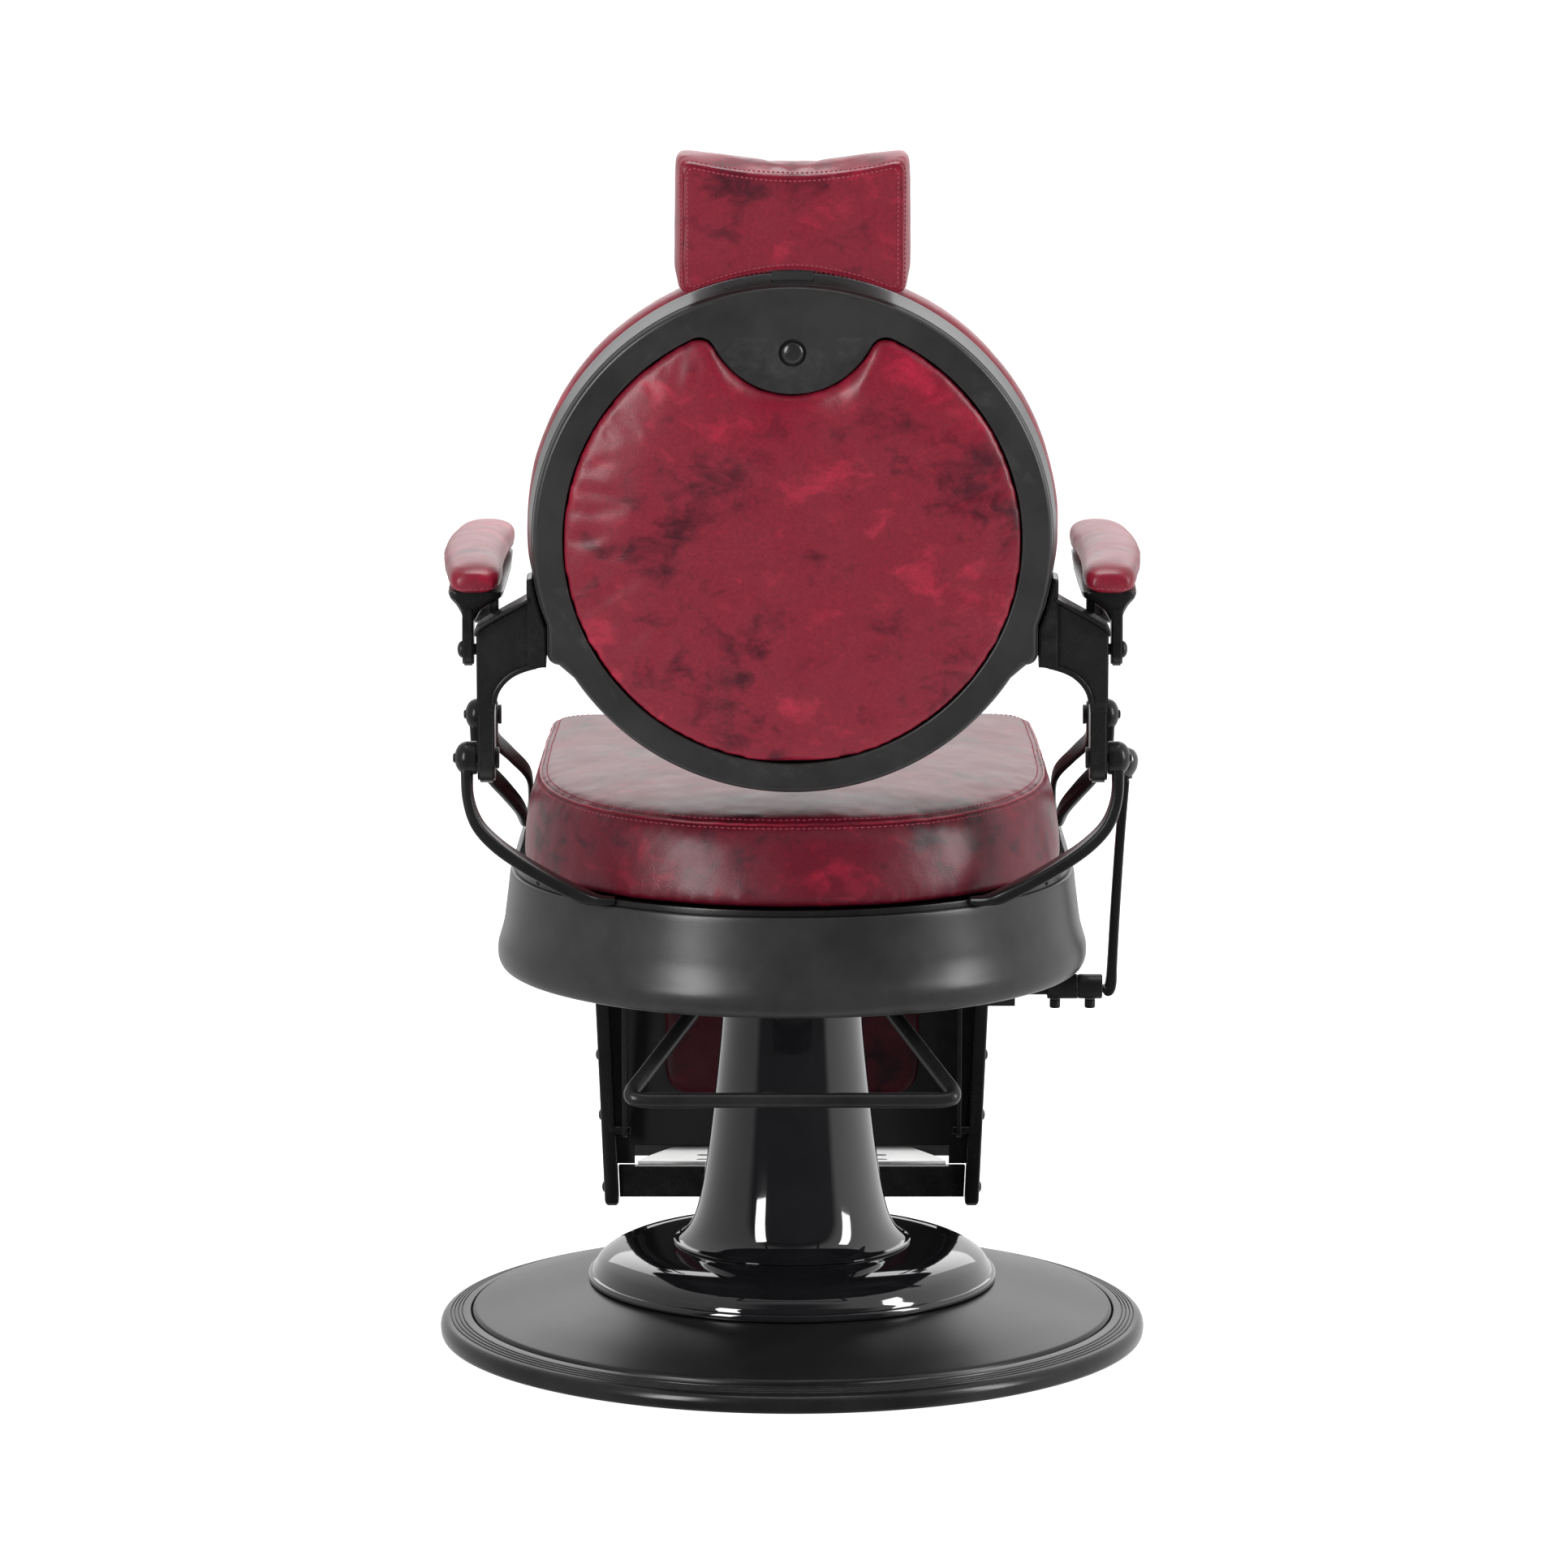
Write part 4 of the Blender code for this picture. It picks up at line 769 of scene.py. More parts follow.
def build_tray():
    floor = DECK_Z + 0.0004
    collar = [(-0.012, floor + 0.0025), (-0.0072, floor + 0.003), (-0.007, 0.4401), (-0.0066, 0.4409),
              (-0.0058, 0.4412), (-0.005, 0.4409), (-0.0047, 0.4401), (-0.0045, floor)]
    pan = loft([level(skirt_shape(grow), z) for grow, z in collar])
    for _, side in SIDES:
        bearing = Vector((side * 0.234, -0.109, 0.0)).normalized()
        start = bearing * 0.238
        end = bearing * 0.262
        carve(pan, rod((start.x, start.y, 0.4413), (end.x, end.y, 0.4413), 0.0044, 24, 0.0))
    piece(pan, "seat_tray", "seat", SATIN, "seat_pan")


def strap(side, path, flat, wide, thick, square, boss):
    """A strap along a path, joined to the boss of its pivot; flat is the axis across it."""
    bent = bar([(side * x, y, z) for x, y, z in path], flat, wide, thick, square)
    return unite(bent, lathe(boss, 48, along_x(side, path[-1][1], PIVOT_Z)))


def build_rear_strap(name, side):
    rear = [(0.16, -0.196, 0.4398), (0.173, -0.198, 0.4408), (0.1874, REAR_Y, 0.4452),
            (0.2128, REAR_Y, 0.458), (0.2416, REAR_Y, 0.475), (0.2655, REAR_Y, 0.4925),
            (0.2815, REAR_Y, 0.511), (0.289, REAR_Y, 0.534), (0.29, REAR_Y, 0.56)]
    wide = [0.006, 0.009, 0.0125, 0.015, 0.0155, 0.015, 0.0145, 0.013, 0.012]
    thick = [0.0036, 0.0044] + [0.006] * 4 + [0.0056, 0.0052, 0.0056]
    boss = domed(0.015, 0.2808, 0.29, 0.301)
    piece(strap(side, rear, (0.0, 1.0, 0.0), wide, thick, 0.5, boss), "rear_strap_bar_" + name, "seat", SATIN,
          "rear_strap_" + name)


def build_rear_pivot(name, side):
    cap = [(0.0, 0.3026), (0.003, 0.3024), (0.0042, 0.3016), (0.0045, 0.3004), (0.004, 0.296),
           (0.004, 0.2643), (0.009, 0.2642), (0.0095, 0.2636), (0.0095, 0.2616), (0.0088, 0.261),
           (0.0, 0.261)]
    piece(lathe(cap, 40, along_x(side, REAR_Y, PIVOT_Z)), "rear_pivot_cap_" + name, "seat", DARK_STEEL,
          "rear_pivot_" + name)


def build_outer_strap(name, side):
    outer = [(0.2495, 0.172, 0.4476), (0.25, 0.15, 0.453), (0.254, 0.11, 0.472), (0.2657, 0.075, 0.494),
             (0.2796, 0.05, 0.515), (0.2895, 0.042, 0.534), (0.2918, FRONT_Y, 0.56)]
    thick = [0.006, 0.0064, 0.008, 0.0092, 0.01, 0.0105, 0.01]
    boss = domed(0.0145, 0.2832, 0.29, 0.3005)
    piece(strap(side, outer, (1.0, 0.0, 0.0), [0.0048] * 7, thick, 0.62, boss), "front_strap_bar_" + name,
          "seat", SATIN, "front_strap_outer_" + name)


def build_inner_strap(name, side):
    inner = [(0.2478, 0.207, 0.4469), (0.246, 0.185, 0.4565), (0.244, 0.15, 0.475), (0.245, 0.105, 0.504),
             (0.26, 0.07, 0.528), (0.2716, 0.048, 0.545), (0.2728, FRONT_Y, 0.564)]
    thick = [0.0042, 0.005, 0.0065, 0.0075, 0.008, 0.009, 0.0095]
    boss = eased([(0.0, 0.2703), (0.0124, 0.2703), (0.0124, 0.2755), (0.0, 0.2755)], 0.001, 4)
    piece(strap(side, inner, (1.0, 0.0, 0.0), [0.0026] * 7, thick, 0.6, boss),
          "front_strap_inner_bar_" + name, "seat", SATIN, "front_strap_inner_" + name)


def build_front_pivot(name, side):
    cap = [(0.0, 0.302), (0.003, 0.3018), (0.004, 0.301), (0.0042, 0.3), (0.004, 0.296), (0.004, 0.2702),
           (0.0084, 0.27), (0.009, 0.2694), (0.009, 0.2676), (0.0084, 0.267), (0.0, 0.267)]
    piece(lathe(cap, 40, along_x(side, FRONT_Y, PIVOT_Z)), "front_pivot_cap_" + name, "seat", DARK_STEEL,
          "front_pivot_" + name)


def build_leg_hanger(name, side):
    outline = [(0.21, 0.4315), (0.21, 0.316), (0.262, 0.303)] + arc(LEG_HINGE[1:], 0.015, -110.0, 100.0, 20)
    outline += [(0.247, 0.34), (0.247, 0.4315)]
    plate = slab(outline, *span(side, 0.1915, 0.1985), SIDE_VIEW)
    axle = rod((side * 0.1745, *LEG_HINGE[1:]), (side * 0.195, *LEG_HINGE[1:]), 0.006, 24)
    nut = hexagon(side, 0.1985, 0.2045, 0.0088, *LEG_HINGE[1:])
    piece(joined([plate, axle, nut]), "leg_hinge_plate_" + name, "seat", SATIN, "leg_hanger_" + name)


# ---------------- seat cushion

# The seam round the seat's top: half width, middle and reach to the rear of its curve, and where its slope starts
SEAT_HALF = 0.232
SEAT_MIDDLE = 0.02
SEAT_REACH = 0.235
SEAT_BACK = 0.238


def build_seat_cushion():
    bottom = seat_shape(0.0, 0.2455, -1.0, (0.24, 0.13), 0.2345, 0.256, 0.03, fine=3)
    right = []
    for k in range(33):
        angle = math.radians(90.0 * k / 32)
        right.append((SEAT_HALF * math.sin(angle) ** 0.889,
                      SEAT_MIDDLE - SEAT_REACH * math.cos(angle) ** 0.889))
    right.append((0.2295, 0.13))
    right += arc((0.192, 0.226), 0.033, 0.0, 90.0, 12)
    for k in range(1, 8):
        right.append((0.192 * (1 - k / 8), 0.259))
    top = mirrored(right + [(0.0, 0.259)])

    def between(t, grow=0.0):
        out = []
        for (a, b), (c, d) in zip(bottom, top):
            x = a + (c - a) * t
            y = b + (d - b) * t
            reach = math.hypot(x, y)
            out.append((x * (1 + grow / reach), y * (1 + grow / reach)))
        return out

    def sloped(scale, lift):
        return [(x * scale, y * scale, SEAM_Z + lift + SEAT_RISE * (y * scale + SEAT_BACK)) for x, y in top]

    def side_ring(t, grow):
        return [(x, y, 0.45 + (z - 0.45) * t) for (x, y), (_, _, z) in zip(between(t, grow),
                                                                           sloped(1.0, 0.0))]

    sections = [level([(x * s, y * s) for x, y in bottom], z) for s,
                z in ((0.5, 0.4405), (0.975, 0.4405), (1.0, 0.444))]
    sections += [side_ring(t, g) for t, g in ((0.02, 0.0), (0.2, 0.0018), (0.4, 0.003), (0.6, 0.0036),
                                              (0.8, 0.0036), (0.93, 0.0018), (1.0, -0.0006))]
    sections += [sloped(s, h) for s, h in ((0.985, 0.0015), (0.95, 0.0042), (0.88, 0.0072), (0.75, 0.0092),
                                           (0.55, 0.0105), (0.3, 0.011))]
    pad = loft(sections)

    def hold(co):
        if co.z < 0.4475:
            return 1.0
        seam = SEAM_Z + SEAT_RISE * (co.y + SEAT_BACK)
        across = abs(co.x) / SEAT_HALF
        along = abs(min(co.y - SEAT_MIDDLE, 0.0)) / SEAT_REACH
        inside = min(across ** 2.25 + along ** 2.25, 1.2)
        if abs(co.z - seam) < 0.006 and (inside > 0.88 or co.y > 0.235):
            return 0.85
        return 0.0

    inflate(pad, 0.006, 0.008, hold, 3.2)
    seam = sloped(1.0, 0.0)

    def behind(point):
        return 1.0 if point[1] < 0.1 else 0.45

    pucker(pad, seam, 0.011, 0.0011, 0.013, behind)
    tree = surface_of(pad)
    piece(pad, "seat_cushion_cover", "seat", CRIMSON_DEEP, "seat_cushion", fill=0.85)
    piece(welt(tree, seam), "seat_seam", "seat", CRIMSON)
    rows = [stitching(tree, [(x * scale, y * scale, z + drop) for x, y, z in seam]) for scale,
            drop in ((0.972, 0.003), (1.004, -0.0055))]
    piece(joined(rows), "seat_stitches", "seat", THREAD)


# ---------------- pedal and lever

def build_pedal():
    y, z = -0.087, 0.369
    right = [(0.016, y, z), (0.045, y, z), (0.0535, -0.09, 0.3675), (0.059, -0.099, 0.363),
             (0.0946, -0.17, 0.326), (0.134, -0.244, 0.288), (0.143, -0.26, 0.2797), (0.1435, -0.2665, 0.276),
             (0.139, -0.27, 0.2742), (0.13, -0.271, 0.2735)]
    path = eased(right + [(-x, b, c) for x, b, c in reversed(right)], 0.004, 4)
    piece(tube(path, 0.0068, 24), "pump_pedal_bar", "pedal", DARK_STEEL, "pump_pedal", smooth=60)


def build_lever_shaft():
    shaft = [(0.0, 0.285), (0.0105, 0.285), (0.0115, 0.284), (0.0115, 0.264), (0.011, 0.2634), (0.011, 0.262),
             (0.0115, 0.2614), (0.0115, 0.2352), (0.0108, 0.2345), (0.0078, 0.234), (0.0078, 0.1606),
             (0.0072, 0.16), (0.0, 0.16)]
    piece(lathe(shaft, 48, along_x(1, 0.0, LEVER_Z)), "lever_sleeve", "lever", DARK_STEEL, "lever_shaft")
    for name, x in (("inner", 0.2417), ("outer", 0.2738)):
        head = [(0.0, -0.004), (0.0024, -0.004), (0.0028, -0.008), (0.0044, -0.008), (0.005, -0.0072),
                (0.005, -0.0006), (0.0044, 0.0), (0.0, 0.0)]
        screw = lathe(head, 24, Matrix.Translation((x, 0.0, LEVER_Z - 0.0118)))
        piece(screw, "lever_set_screw_" + name, "lever", DARK_STEEL, "lever_screw_" + name)


def build_lever():
    path = [(0.2868, 0.0, LEVER_Z - 0.0015), (0.2905, 0.0, LEVER_Z - 0.0035), (0.293, 0.0, LEVER_Z + 0.004),
            (0.294, 0.0, 0.345), (0.2962, 0.0, 0.39), (0.3003, 0.0, 0.46), (0.3046, 0.0, 0.515)]
    arm = bar(path, (0.0, 1.0, 0.0), [0.01, 0.0104, 0.0106, 0.01, 0.0096, 0.0092, 0.008],
              [0.003, 0.005, 0.0052, 0.0047, 0.0045, 0.0044, 0.0042], 0.5)
    piece(arm, "recline_lever_bar", "lever", SATIN, "recline_lever")
    knob = smooth_path([(0.0, 0.029), (0.004, 0.0284), (0.0082, 0.0258), (0.011, 0.021), (0.0118, 0.016),
                        (0.0106, 0.0095), (0.008, 0.0045)], 5)
    knob += [(0.007, 0.0032), (0.0066, 0.0028), (0.0066, 0.0004), (0.006, 0.0), (0.0, 0.0)]
    piece(lathe(knob, 48, Matrix.Translation((0.305, 0.0, 0.5171))), "lever_grip_knob", "lever", KNOB,
          "lever_knob")


# ---------------- back

def ring_outline(grow):
    """The ring's outer outline: a circle with a square-cornered lug low on each side."""
    lug_x = 0.2155 + grow
    corner = 0.01
    radius = RING_RADIUS + grow
    rise = math.degrees(math.acos(lug_x / radius))
    fall = math.degrees(math.acos(0.192 / RING_RADIUS))
    right = arc((0.0, 0.0), radius, -90.0, -fall, 54)
    right += arc((lug_x - corner, -0.112 - grow + corner), corner, -90.0, 0.0, 10)
    right += arc((0.0, 0.0), radius, -rise, 90.0, 102)
    return mirrored(right)


def opening_outline(grow):
    """The opening in the ring's rear face, with the lobe for the button at its top."""
    radius = OPENING_RADIUS + grow
    lobe = LOBE_RADIUS - grow
    fillet = LOBE_FILLET + grow
    reach = radius - fillet
    swing = math.acos((reach ** 2 + LOBE_CENTRE_Z ** 2 - (lobe + fillet) ** 2) / (2 * reach * LOBE_CENTRE_Z))
    centre = (reach * math.sin(swing), reach * math.cos(swing))
    top = 90.0 - math.degrees(swing)
    to_lobe = math.degrees(math.atan2(LOBE_CENTRE_Z - centre[1], -centre[0]))
    right = arc((0.0, 0.0), radius, -90.0, top, 95)
    right += arc(centre, fillet, top, to_lobe, 20)[1:]
    right += arc((0.0, LOBE_CENTRE_Z), lobe, to_lobe - 180.0, -90.0, 30)[1:]
    return mirrored(right)


def leaned(outline, depth, scale=1.0):
    return [(x * scale, depth, z * scale) for x, z in outline]


def back_loft(outline, steps):
    """A form in the back's frame, from an outline's growth at each depth."""
    return loft([leaned(outline(grow), depth) for grow, depth in steps], BACK)


def cuboid(low, high, bevel=0.001):
    """A box in the back's frame."""
    outline = [(low[0], low[1]), (high[0], low[1]), (high[0], high[1]), (low[0], high[1])]
    return slab(outline, low[2], high[2], TOP_VIEW, BACK, bevel)


def build_back_ring():
    steps = [(-0.0042, 0.0), (-0.003, 0.0002), (-0.0019, 0.0008), (-0.001, 0.0016), (-0.0003, 0.0027),
             (0.0, 0.0042), (0.0005, 0.006), (0.0007, 0.0072), (0.0014, 0.008), (0.003, 0.024),
             (0.0044, 0.0372), (0.0048, 0.0396), (0.0044, 0.0406), (0.0036, 0.041)]
    ring = back_loft(ring_outline, steps)
    pocket = back_loft(ring_outline, ((-0.004, 0.003), (-0.003, 0.005), (0.0018, 0.045)))
    opening = back_loft(opening_outline, ((0.0022, -0.001), (0.0017, 0.0), (0.0008, 0.0004), (0.0002, 0.0011),
                                          (0.0, 0.002), (0.0, 0.012)))
    hole = lathe([(0.0, 0.02), (0.0119, 0.02), (0.0119, 0.0007), (0.0121, 0.0003), (0.0125, 0.0),
                  (0.0125, -0.01), (0.0, -0.01)], 48, BUTTON_PLACE)
    slot = cuboid((-0.0186, 0.0174, 0.18), (0.0186, 0.0251, 0.3), bevel=0.0)
    piece(carve(ring, pocket, opening, hole, slot), "back_trim_ring", "back", RING, "back_ring", smooth=32)


def build_rear_panel():
    outside = opening_outline(-0.0004)
    bulge = ((0.01, 1.0), (0.0015, 1.0), (-0.0012, 0.993), (-0.0042, 0.97), (-0.007, 0.93), (-0.0098, 0.86),
             (-0.0118, 0.77), (-0.0132, 0.64), (-0.014, 0.48), (-0.0143, 0.28))
    panel = loft([leaned(outside, depth, scale) for depth, scale in bulge], BACK)

    def hold(co):
        if co.y > 0.002:
            return 1.0
        return 0.6 if co.y > -0.0005 else 0.0

    inflate(panel, 0.005, 0.0028, hold, 2.2, place=BACK)
    crease = [BACK @ Vector(point) for point in leaned(opening_outline(-0.01), -0.004)]

    def upper(point):
        return 1.0 if point[2] > BACK.translation.z + 0.06 else 0.35

    pucker(panel, crease, 0.02, 0.00035, 0.013, upper)
    piece(panel, "back_rear_panel", "back", CRIMSON, "back_panel", fill=0.9)


def build_button():
    button = dome(0.0097, -0.0004, -0.004) + [(0.0097, 0.0095), (0.0, 0.0095)]
    piece(lathe(button, 48, BUTTON_PLACE), "headrest_button", "button", BUTTON, "release_button")


def back_circle(radius, depth):
    angles = [2 * math.pi * k / 240 for k in range(240)]
    return [BACK @ Vector((radius * math.cos(a), depth, radius * math.sin(a))) for a in angles]


def build_back_cushion():
    profile = [(0.0, 0.043), (0.22, 0.043), (0.23, 0.0436), (0.2335, 0.047), (0.2355, 0.056), (0.2362, 0.068),
               (0.2345, 0.082), (0.23, 0.091), (0.22, 0.0975), (0.2, 0.103), (0.17, 0.1065), (0.12, 0.1085),
               (0.0, 0.1095)]
    pad = lathe(profile, 96, BACK_FACING)

    def hold(co):
        if co.y < 0.046:
            return 1.0
        reach = math.hypot(co.x, co.z)
        return 0.8 if reach > 0.222 and abs(co.y - 0.0925) < 0.0045 else 0.0

    inflate(pad, 0.006, 0.0065, hold, 3.0, place=BACK)
    seam = back_circle(0.231, 0.0905)
    pucker(pad, seam, 0.011, 0.0009, 0.015)
    tree = surface_of(pad)
    piece(pad, "back_cushion_cover", "back", CRIMSON, "back_cushion", fill=0.85)
    piece(welt(tree, seam), "back_seam", "back", CRIMSON)
    rows = [stitching(tree, back_circle(0.224, 0.0965)), stitching(tree, back_circle(0.236, 0.084))]
    piece(joined(rows), "back_stitches", "back", THREAD)


def build_bracket(name, side):
    wall = arc((0.0, 0.0), RING_RADIUS + 0.0042, -20.6, -8.7, 10)
    flange = [(0.218, -0.1165)] + wall + [(0.234, -0.0362), (0.235, -0.038), (0.235, -0.1165)]
    cheek = slab([(side * x, z) for x, z in flange], 0.0085, 0.036, REAR_VIEW, BACK, 0.0014)
    top = [(0.234, -0.0575), (0.243, -0.0628), (0.253, -0.0684), (0.269, -0.0776), (0.2775, -0.0836),
           (0.28, -0.089)]
    hollow = smooth_path([(0.2645, -0.16), (0.2632, -0.148), (0.2604, -0.14), (0.255, -0.1325),
                          (0.248, -0.1265), (0.24, -0.1224), (0.23, -0.1192), (0.22, -0.1172)], 3)
    web = smooth_path(top, 3) + [(0.28, -0.16)] + hollow + [(0.22, -0.09), (0.23, -0.06)]
    plate = slab([(side * x, z) for x, z in web], 0.0125, 0.033, REAR_VIEW, BACK, 0.0014)
    half = 0.022
    leg = arc((REAR_Y, PIVOT_Z), half, 180.0, 360.0, 30)
    leg += [(REAR_Y + half, 0.65), (REAR_Y + half - 0.004, 0.672), (REAR_Y + 0.012, 0.686),
            (REAR_Y - half, 0.688)]
    bracket = unite(slab(leg, *span(side, 0.2645, 0.28), SIDE_VIEW, WORLD, 0.0022), plate, cheek)
    piece(bracket, "back_bracket_arm_" + name, "back", SATIN, "back_bracket_" + name, smooth=35)
    rows = [tuple(BACK @ Vector((side * x, 0.0245, z + 0.0012))) for x, z in top]
    roof = bar(rows, (0.0, 1.0, 0.0), [0.0205] * 6, [0.002] * 6, 0.4, per=4)
    piece(roof, "bracket_roof_" + name, "back", SATIN, smooth=45)
    rows = [tuple(BACK @ Vector((side * (x + 0.001), 0.0118, z + 0.0026))) for x, z in hollow[2:-2]]
    rim = bar(rows, (0.0, 1.0, 0.0), [0.0022] * len(rows), [0.0026] * len(rows), 0.6, per=1, count=12)
    piece(rim, "bracket_rim_" + name, "back", SATIN, smooth=45)
    pin = pin_profile(0.005, 0.2612, 0.008, 0.2643, 0.293, 0.0075, 0.0048)
    piece(lathe(pin, 32, along_x(side, REAR_Y, ARM_PIN_Z)), "arm_rear_bolt_" + name, "back", DARK_STEEL,
          "arm_rear_pin_" + name)


def pin_profile(radius, inner_end, nut, grip_in, grip_out, head, bulge):
    """Domed head outside, shank through the grip, and a nut inside."""
    ease = 0.0006
    shank = [(head, grip_out), (radius, grip_out), (radius, grip_in)]
    shank += [(nut - ease, grip_in), (nut, grip_in - ease), (nut, inner_end + ease), (nut - ease, inner_end)]
    return dome(head, grip_out + ease, bulge - ease, 10) + shank + [(0.0, inner_end)]


# ---------------- headrest

HEAD_BASE = 0.2435


def head_half(half, corner, low, high, dip, lift):
    """Right half of the headrest's outline from the bottom middle to the top middle."""
    steps = [k / 8 for k in range(8)]
    right = [((half - corner) * t, low - dip * t ** 1.8) for t in steps]
    right += arc((half - corner, low - dip + corner), corner, -90.0, 0.0, 7)
    right += arc((half - corner, high + lift - corner), corner, 0.0, 90.0, 7)
    return right + [((half - corner) * t, high + lift * t ** 1.8) for t in reversed(steps)]


def headrest_outline(inset, depth):
    """The headrest's outline at a depth; it hangs lower behind, and its top slopes down to the front."""
    share = min(max((depth - 0.028) / 0.018, 0.0), 1.0)
    low = -0.0076 + 0.0066 * share
    dip = 0.0205 - 0.0075 * share
    high = 0.088 - 0.007 * min(max((depth - 0.02) / 0.08, 0.0), 1.0)
    return mirrored(head_half(0.103 - inset, 0.006, low + inset, high - inset, dip, 0.0115))


def head_path(inset, depth):
    return [BACK @ Vector((x, depth, HEAD_BASE + z)) for x, z in headrest_outline(inset, depth)]


def build_headrest():
    steps = ((0.013, 0.009), (0.0136, 0.0068), (0.0155, 0.0055), (0.022, 0.0036), (0.03, 0.002), (0.046, 0.0),
             (0.062, 0.0), (0.078, 0.0008), (0.088, 0.0036), (0.0945, 0.0085), (0.098, 0.017),
             (0.0995, 0.03))
    sections = []
    for depth, inset in steps:
        bow = []
        for x, z in headrest_outline(inset, depth):
            curl = 0.0 if depth < 0.05 else -0.01 * (1 - (x / 0.103) ** 2) * (depth - 0.05) / 0.05
            bow.append((x, depth + curl, HEAD_BASE + z))
        sections.append(bow)
    pad = loft(sections, BACK)

    def hold(co):
        return 0.8 if co.y < 0.0165 else 0.0

    inflate(pad, 0.004, 0.0035, hold, 3.0, place=BACK, ripple=0.0005)
    tree = surface_of(pad)
    piece(pad, "headrest_cover", "headrest", CRIMSON, "headrest_pad", fill=0.85)
    rows = [stitching(tree, head_path(0.0108, 0.0128), 0.0042, 0.0027, 0.00062),
            stitching(tree, head_path(0.004, 0.0185), 0.0042, 0.0027, 0.00062),
            stitching(tree, head_path(0.004, 0.0905), 0.005, 0.0034, 0.0005)]
    piece(joined(rows), "headrest_stitches", "headrest", THREAD)
    piece(welt(tree, head_path(0.0064, 0.014), 0.0011, 0.0002), "headrest_seam", "headrest", CRIMSON)


def build_headrest_stem():
    post = cuboid((-0.018, 0.018, 0.062), (0.018, 0.0245, 0.241))
    plate = cuboid((-0.03, 0.014, 0.2395), (0.03, 0.056, 0.242))
    piece(unite(plate, post), "headrest_stem", "headrest", CHROME, "headrest_post")


# ---------------- arms

def build_arm_casting(name, side):
    lug = arc((REAR_Y, ARM_PIN_Z), 0.0148, 180.0, 360.0, 24) + [(REAR_Y + 0.016, 0.68),
                                                                (REAR_Y + 0.026, 0.694)]
    lug += [(0.01, 0.694), (0.022, 0.683)] + arc((FRONT_Y, ARM_PIN_Z), 0.013, 180.0, 360.0, 24)
    lug += [(0.06, 0.705), (-0.21, 0.705)]
    web = slab(lug, *span(side, 0.2828, 0.293), SIDE_VIEW, WORLD, 0.0016)
    flare = []
    middle = 0.287
    top = 0.7202
    shape = [(0.2835, 0.6905), (0.292, 0.6905), (0.2938, 0.699), (0.2985, 0.7075), (0.3045, 0.714),
             (0.3062, top), (0.256, top), (0.2575, 0.7145), (0.267, 0.709), (0.277, 0.702)]
    shape = eased(shape, 0.002, 3, True)
    for y, scale in ((-0.2085, 0.55), (-0.2075, 0.8), (-0.204, 0.95), (-0.195, 1.0), (-0.12, 1.04),
                     (-0.05, 1.06), (0.02, 1.03), (0.062, 1.0), (0.0735, 0.93), (0.077, 0.75), (0.078, 0.5)):
        flare.append([(side * (middle + (x - middle) * scale), y, top - (top - z) * min(1.0, scale)) for x,
                      z in shape])
    tab = [(-0.204, 0.718), (-0.202, 0.704), (-0.196, 0.6975), (-0.186, 0.699), (-0.176, 0.718)]
    ear = slab(tab, *span(side, 0.261, 0.268), SIDE_VIEW, WORLD, 0.0016)
    piece(unite(web, loft(flare), ear), "arm_casting_" + name + "_body", "arm_" + name, SATIN,
          "arm_casting_" + name, smooth=40)


def build_arm_link(name, side):
    pin = pin_profile(0.005, 0.2715, 0.0078, 0.276, 0.2932, 0.0075, 0.0048)
    piece(lathe(pin, 32, along_x(side, FRONT_Y, ARM_PIN_Z)), "arm_front_bolt_" + name, "arm_link_" + name,
          DARK_STEEL, "arm_front_pin_" + name)
    outline = arc((FRONT_Y, PIVOT_Z), 0.0125, 180.0, 360.0, 20) + arc((FRONT_Y, ARM_PIN_Z), 0.012, 0.0, 180.0,
                                                                      20)
    link = slab(outline, *span(side, 0.2764, 0.2824), SIDE_VIEW, WORLD, 0.0012)
    piece(link, "arm_link_bar_" + name, "arm_link_" + name, SATIN, "arm_link_" + name)


def build_arm_pad(name, side):
    stations = ((-0.2225, 0.27, 0.2945, 0.22), (-0.2212, 0.2655, 0.2985, 0.42),
                (-0.217, 0.2618, 0.3016, 0.62), (-0.208, 0.259, 0.3045, 0.8), (-0.192, 0.2572, 0.3062, 0.93),
                (-0.155, 0.258, 0.3095, 1.0), (-0.11, 0.259, 0.313, 1.0), (-0.055, 0.259, 0.3152, 1.0),
                (0.0, 0.257, 0.3135, 1.0), (0.04, 0.2545, 0.3095, 1.0), (0.068, 0.254, 0.3055, 0.97),
                (0.081, 0.2575, 0.301, 0.86), (0.0865, 0.263, 0.296, 0.62), (0.0885, 0.269, 0.2905, 0.38))
    floor = 0.7206
    height = 0.0272
    sections = []
    for y, inner, outer, scale in smooth_path(stations, 2):
        ring = []
        for k in range(32):
            across, up = squared(2 * math.pi * k / 32, 0.62)
            drop = 0.0 if up < 0 else 0.0022 * across ** 2
            x = (inner + outer) / 2 + across * (outer - inner) / 2
            ring.append((side * x, y, floor + (height - drop) * (0.5 + 0.5 * up) * (0.35 + 0.65 * scale)))
        sections.append(ring)
    pad = loft(sections)
    inflate(pad, 0.0045, 0.0028, lambda co: 1.0 if co.z < floor + 0.002 else 0.0, 3.0, ripple=0.0004)
    tree = surface_of(pad)
    piece(pad, "arm_pad_cover_" + name, "arm_" + name, CRIMSON, "arm_pad_" + name, fill=0.85)
    rows = smooth_path(stations, 3)
    edge = [(side * outer, y, floor + 0.004) for y, _, outer, _ in rows]
    edge += [(side * inner, y, floor + 0.004) for y, inner, _, _ in reversed(rows)]
    piece(stitching(tree, edge, 0.005, 0.0034, 0.0005), "arm_pad_stitches_" + name, "arm_" + name, THREAD)


# ---------------- leg rest

